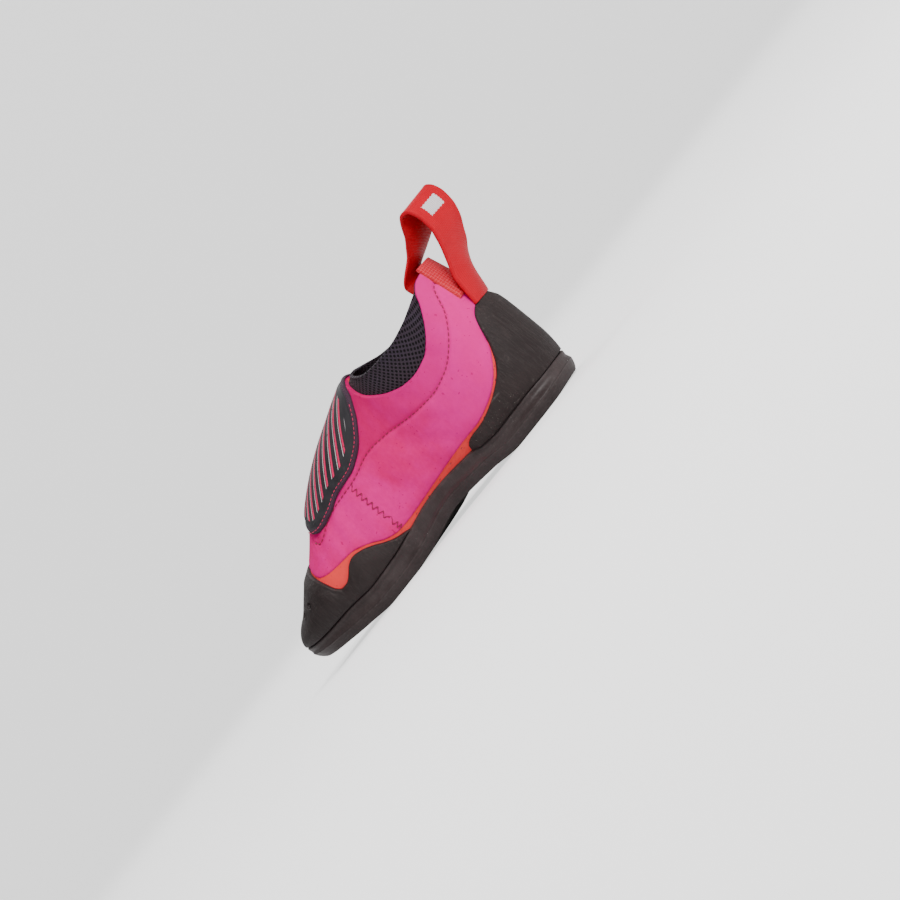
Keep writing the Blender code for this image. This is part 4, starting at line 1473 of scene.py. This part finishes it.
def stitches(name, middles, ways, length, radius, material, slot, flat=0.8):
    """Short rounded threads, joined into one mesh: copies of one stretched ball."""
    bpy.ops.object.select_all(action="DESELECT")
    bpy.ops.mesh.primitive_uv_sphere_add(segments=8, ring_count=6, radius=1)
    obj = bpy.context.object
    obj.name = obj.data.name = name
    ball, faces = in_fixed_order(obj.data)
    middles, ways = np.asarray(middles), np.asarray(ways)
    lengths = np.broadcast_to(np.asarray(length, float), len(middles))
    along = ways / np.linalg.norm(ways, axis=1, keepdims=True)
    helper = np.where(np.abs(along[:, 2:]) > 0.9, [[1.0, 0, 0]], [[0, 0, 1.0]])
    side = np.cross(helper, along)
    side /= np.linalg.norm(side, axis=1, keepdims=True)
    up = np.cross(along, side)
    squared = np.sign(ball) * np.abs(ball) ** 0.8
    verts = middles[:, None] + squared[None, :, 2:] * (lengths / 2)[:, None, None] * along[:, None]
    verts = verts + ball[None, :, :1] * radius * side[:, None]
    verts = verts + ball[None, :, 1:2] * radius * flat * up[:, None]
    starts = range(0, len(ball) * len(middles), len(ball))
    every = [[start + index for index in face] for start in starts for face in faces]
    mesh = bpy.data.meshes.new(name)
    mesh.from_pydata(verts.reshape(-1, 3).tolist(), [], every)
    mesh.materials.append(material)
    old, obj.data = obj.data, mesh
    bpy.data.meshes.remove(old)
    select_only(obj)
    bpy.ops.object.shade_smooth()
    return settle(obj, None, slot)


def stations_along(line, pitch):
    """Evenly spaced places along a line of points, with the way the line runs there."""
    run = run_along(line)
    places = np.arange(pitch / 2, run[-1] - pitch / 2, pitch)
    middles, ahead, behind = (
        np.stack([np.interp(places + step, run, line[:, k]) for k in range(3)], axis=1)
        for step in (0, pitch / 4, -pitch / 4)
    )
    return middles, ahead - behind


def edge_line(rows, first_at, last_at, side, offset, raised=0.0, inset=0.0):
    """The points of an edge that is drawn from the side, raised or set in along the form."""
    turns = evenly(float(turn_at(first_at)), float(turn_at(last_at)), 240)
    turns = turns if side > 0 else 2 - turns
    lifts = edge_lift(rows, turns, offset, raised)
    if inset:
        nudge = 0.01
        step = form_point(turns, lifts + nudge, offset) - form_point(turns, lifts, offset)
        lifts = lifts + inset * nudge / np.linalg.norm(step, axis=-1)
    return form_point(turns, lifts, offset)


def sew(name, lines, length, radius, material, slot, flat=0.8):
    """A row of stitches along each of these lines, which come with their pitch."""
    found = [stations_along(line, pitch) for line, pitch in lines]
    middles, ways = (np.concatenate(part) for part in zip(*found))
    stitches(name, middles, ways, length, radius, material, slot, flat)


def make_stitching():
    """The seam, the joint, the border of the instep panel and the dark spots on the underlay, painted
    shade of its stitch holes.
    """
    sunk, pitch, length, thick = SEAM_STITCH
    seams = [
        (edge_line(SEAM_LINE, *SEAM_STITCHED_AT, side, UPPER_OUT - sunk), pitch) for side in SIDES
    ]
    sew("seam_stitches", seams, length, thick, pink_thread, "upper")
    make_zigzag()
    sunk, pitch, length, thick = BORDER_STITCH
    borders = [
        (edge_line(PANEL_LINE, *BORDER_STITCHED_AT, side, PANEL_OUT - sunk, inset=BORDER_INSET), pitch)
        for side in SIDES
    ]
    sew("panel_stitches", borders, length, thick, red_thread, "instep_panel")
    # Dark spots on the underlay: painted shade standing in for its stitch holes
    spots = [
        (edge_line(UNDERLAY_LINE, first, last, side, SOCK_OUT, raised=-SPOT_BELOW), pitch)
        for side in SIDES for first, last, pitch in SPOT_ROWS
    ]
    sew("underlay_stitches", spots, SPOT_LENGTH, SPOT_THICK, hole_shade_thread, "upper", flat=0.6)


def make_zigzag():
    """The joint between quarter and vamp: a zigzag, each leg sewn in short stitches."""
    middles, ways = [], []
    seam_turn = np.array([turn_at(SEAM_AT)])
    low, high = (float(edge_lift(rows, seam_turn, UPPER_OUT)[0]) for rows in (UNDERLAY_LINE, SEAM_LINE))
    share = evenly(0, 1, ZIGZAG_LEGS * ZIGZAG_STEPS)
    wave = np.abs((share * ZIGZAG_LEGS) % 2 - 1) * 2 - 1
    turns = turn_at(SEAM_AT + ZIGZAG_REACH * wave + ZIGZAG_LEAN * (share - 0.5))
    for side in SIDES:
        lifts = blend(low, high, 0.02 + 0.96 * share)
        points = form_point(turns if side > 0 else 2 - turns, lifts, UPPER_OUT - ZIGZAG_SUNK)
        middles.append((points[:-1] + points[1:]) / 2)
        ways.append(np.diff(points, axis=0))
    middles, ways = np.concatenate(middles), np.concatenate(ways)
    lengths = np.linalg.norm(ways, axis=1) * ZIGZAG_OVERLAP
    stitches("joint_zigzag", middles, ways, lengths, ZIGZAG_THICK, pink_thread, "upper")


make_outsole()
make_sock()
make_pink_panels()
make_rand()
make_toe_cap()
make_heel_cup()
make_instep_panel()
make_cuff()
make_insole()
make_heel_tape()
make_pull_loop()
make_stitching()


# The floor, the lamps and the camera

COVE_RADIUS = 2.0
COVE_BEND = 0.9
COVE_HEIGHT = 1.6
CAMERA_AWAY = 1.1
LENS = 107.0
SENSOR_WIDTH = 36
ROLL = math.radians(52)
PHOTO_SCALE = 2430.0
PHOTO_MIDDLE = (436.0, 426.0)
IMAGE_SIZE = 900.0
TO_CAMERA = Vector((-0.397, 0.918, 0.017)).normalized()
LEVEL_RIGHT = Vector((0, 0, 1)).cross(TO_CAMERA).normalized()
LEVEL_UP = TO_CAMERA.cross(LEVEL_RIGHT)
CAMERA_UP = math.cos(ROLL) * LEVEL_UP + math.sin(ROLL) * LEVEL_RIGHT
CAMERA_RIGHT = math.cos(ROLL) * LEVEL_RIGHT - math.sin(ROLL) * LEVEL_UP

WORLD_LIGHT = 0.46
# The floor's own glow, as the camera sees it and as it lights the shoe
GLOW = 1.1
GLOW_ELSEWHERE = 0.06

# Lamps. place: metres from the shoe's middle towards the camera, to the photo's top and right and
# straight up. Then the width in metres, the power in watts and the colour.
LAMPS = (
    ("key lamp", (0.9, 0.7, 0.0, 0.35), 0.5, 15.0, (1.0, 0.985, 0.98)),
    ("fill lamp", (0.8, -0.1, 0.9, 0.5), 0.9, 3.0, (0.97, 0.98, 1.0)),
    ("back lamp", (-0.7, 0.0, 0.0, 0.9), 0.6, 5.0, (1.0, 1.0, 1.0)),
)


def make_stage():
    """A pale floor that curves up all round, and an even white world."""
    around = evenly(0, 2 * math.pi, 96)
    arc = evenly(0, math.pi / 2, 16)
    radii = np.concatenate([evenly(0, COVE_RADIUS, 8), COVE_RADIUS + COVE_BEND * np.sin(arc[1:]),
                            [COVE_RADIUS + COVE_BEND]])
    heights = np.concatenate([np.zeros(9), COVE_BEND * (1 - np.cos(arc[1:])), [COVE_HEIGHT]])
    points = np.stack([np.cos(around)[:, None] * radii, np.sin(around)[:, None] * radii,
                       heights + 0 * around[:, None]], axis=-1)
    floor, _, _ = grid("floor", points, points[..., :2])
    bm = bmesh.new()
    bm.from_mesh(floor.data)
    bmesh.ops.remove_doubles(bm, verts=bm.verts, dist=MM)
    bm.to_mesh(floor.data)
    bm.free()
    select_only(floor)
    bpy.ops.object.shade_smooth()
    material, tree, shader, place, _ = paint("floor")
    soft = mottled(tree, place, 3.0)
    fine = use(tree, GRAIN, Vector=place, Scale=500.0, Pits=0.0)
    shade = layered(tree, tint("floor"), (soft, 0.3, "floor_cool"))
    dress(tree, shader, shade, 0.8, (fine["Height"], 0.1, 0.0001))
    seen_directly = add(tree, "ShaderNodeLightPath").outputs["Is Camera Ray"]
    glow = mixed(tree, seen_directly, (*[GLOW_ELSEWHERE] * 3, 1), (1, 1, 1, 1))
    tree.links.new(glow, shader.inputs["Emission Color"])
    shader.inputs["Emission Strength"].default_value = GLOW
    material.cycles.emission_sampling = "NONE"
    floor.data.materials.append(material)
    floor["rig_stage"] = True
    world = bpy.data.worlds.new("studio")
    bpy.context.scene.world = world
    world.use_nodes = True
    background = world.node_tree.nodes["Background"].inputs
    background["Color"].default_value = (1.0, 1.0, 1.0, 1)
    background["Strength"].default_value = WORLD_LIGHT


def make_lamp(target, name, away, size, power, colour):
    """A round soft lamp that faces the target."""
    towards, top, right, up = away
    place = target + TO_CAMERA * towards + CAMERA_UP * top + CAMERA_RIGHT * right
    place = place + Vector((0, 0, up))
    bpy.ops.object.light_add(type="AREA", location=place)
    lamp = bpy.context.object
    lamp.name = name
    lamp.data.shape = "DISK"
    lamp.data.size = size
    lamp.data.energy = power
    lamp.data.color = colour
    lamp.rotation_euler = (place - target).to_track_quat("Z", "Y").to_euler()
    lamp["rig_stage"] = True


def make_camera():
    """A long lens at the photo's angle, rolled as there, with the shoe at the photo's place."""
    low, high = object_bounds()
    middle = (low + high) / 2
    pieces = [obj for obj in bpy.context.scene.objects if obj.type == "MESH" and "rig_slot" in obj]
    seen = [obj.matrix_world @ vert.co for obj in pieces for vert in obj.data.vertices]
    right = [(place - middle).dot(CAMERA_RIGHT) for place in seen]
    up = [(place - middle).dot(CAMERA_UP) for place in seen]
    middle = middle + CAMERA_RIGHT * (max(right) + min(right)) / 2
    middle = middle + CAMERA_UP * (max(up) + min(up)) / 2
    aside = (IMAGE_SIZE / 2 - PHOTO_MIDDLE[0]) / PHOTO_SCALE
    above = (PHOTO_MIDDLE[1] - IMAGE_SIZE / 2) / PHOTO_SCALE
    target = middle + CAMERA_RIGHT * aside + CAMERA_UP * above
    place = target + TO_CAMERA * CAMERA_AWAY
    bpy.ops.object.camera_add(location=place)
    camera = bpy.context.object
    camera.name = "camera"
    camera.data.lens = LENS
    camera.data.sensor_width = SENSOR_WIDTH
    camera.data.clip_start = 0.01
    turned = Matrix((CAMERA_RIGHT, CAMERA_UP, TO_CAMERA)).transposed()
    camera.rotation_euler = turned.to_euler()
    camera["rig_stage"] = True
    bpy.context.scene.camera = camera
    return middle


make_stage()
shoe_middle = make_camera()
for lamp in LAMPS:
    make_lamp(shoe_middle, *lamp)
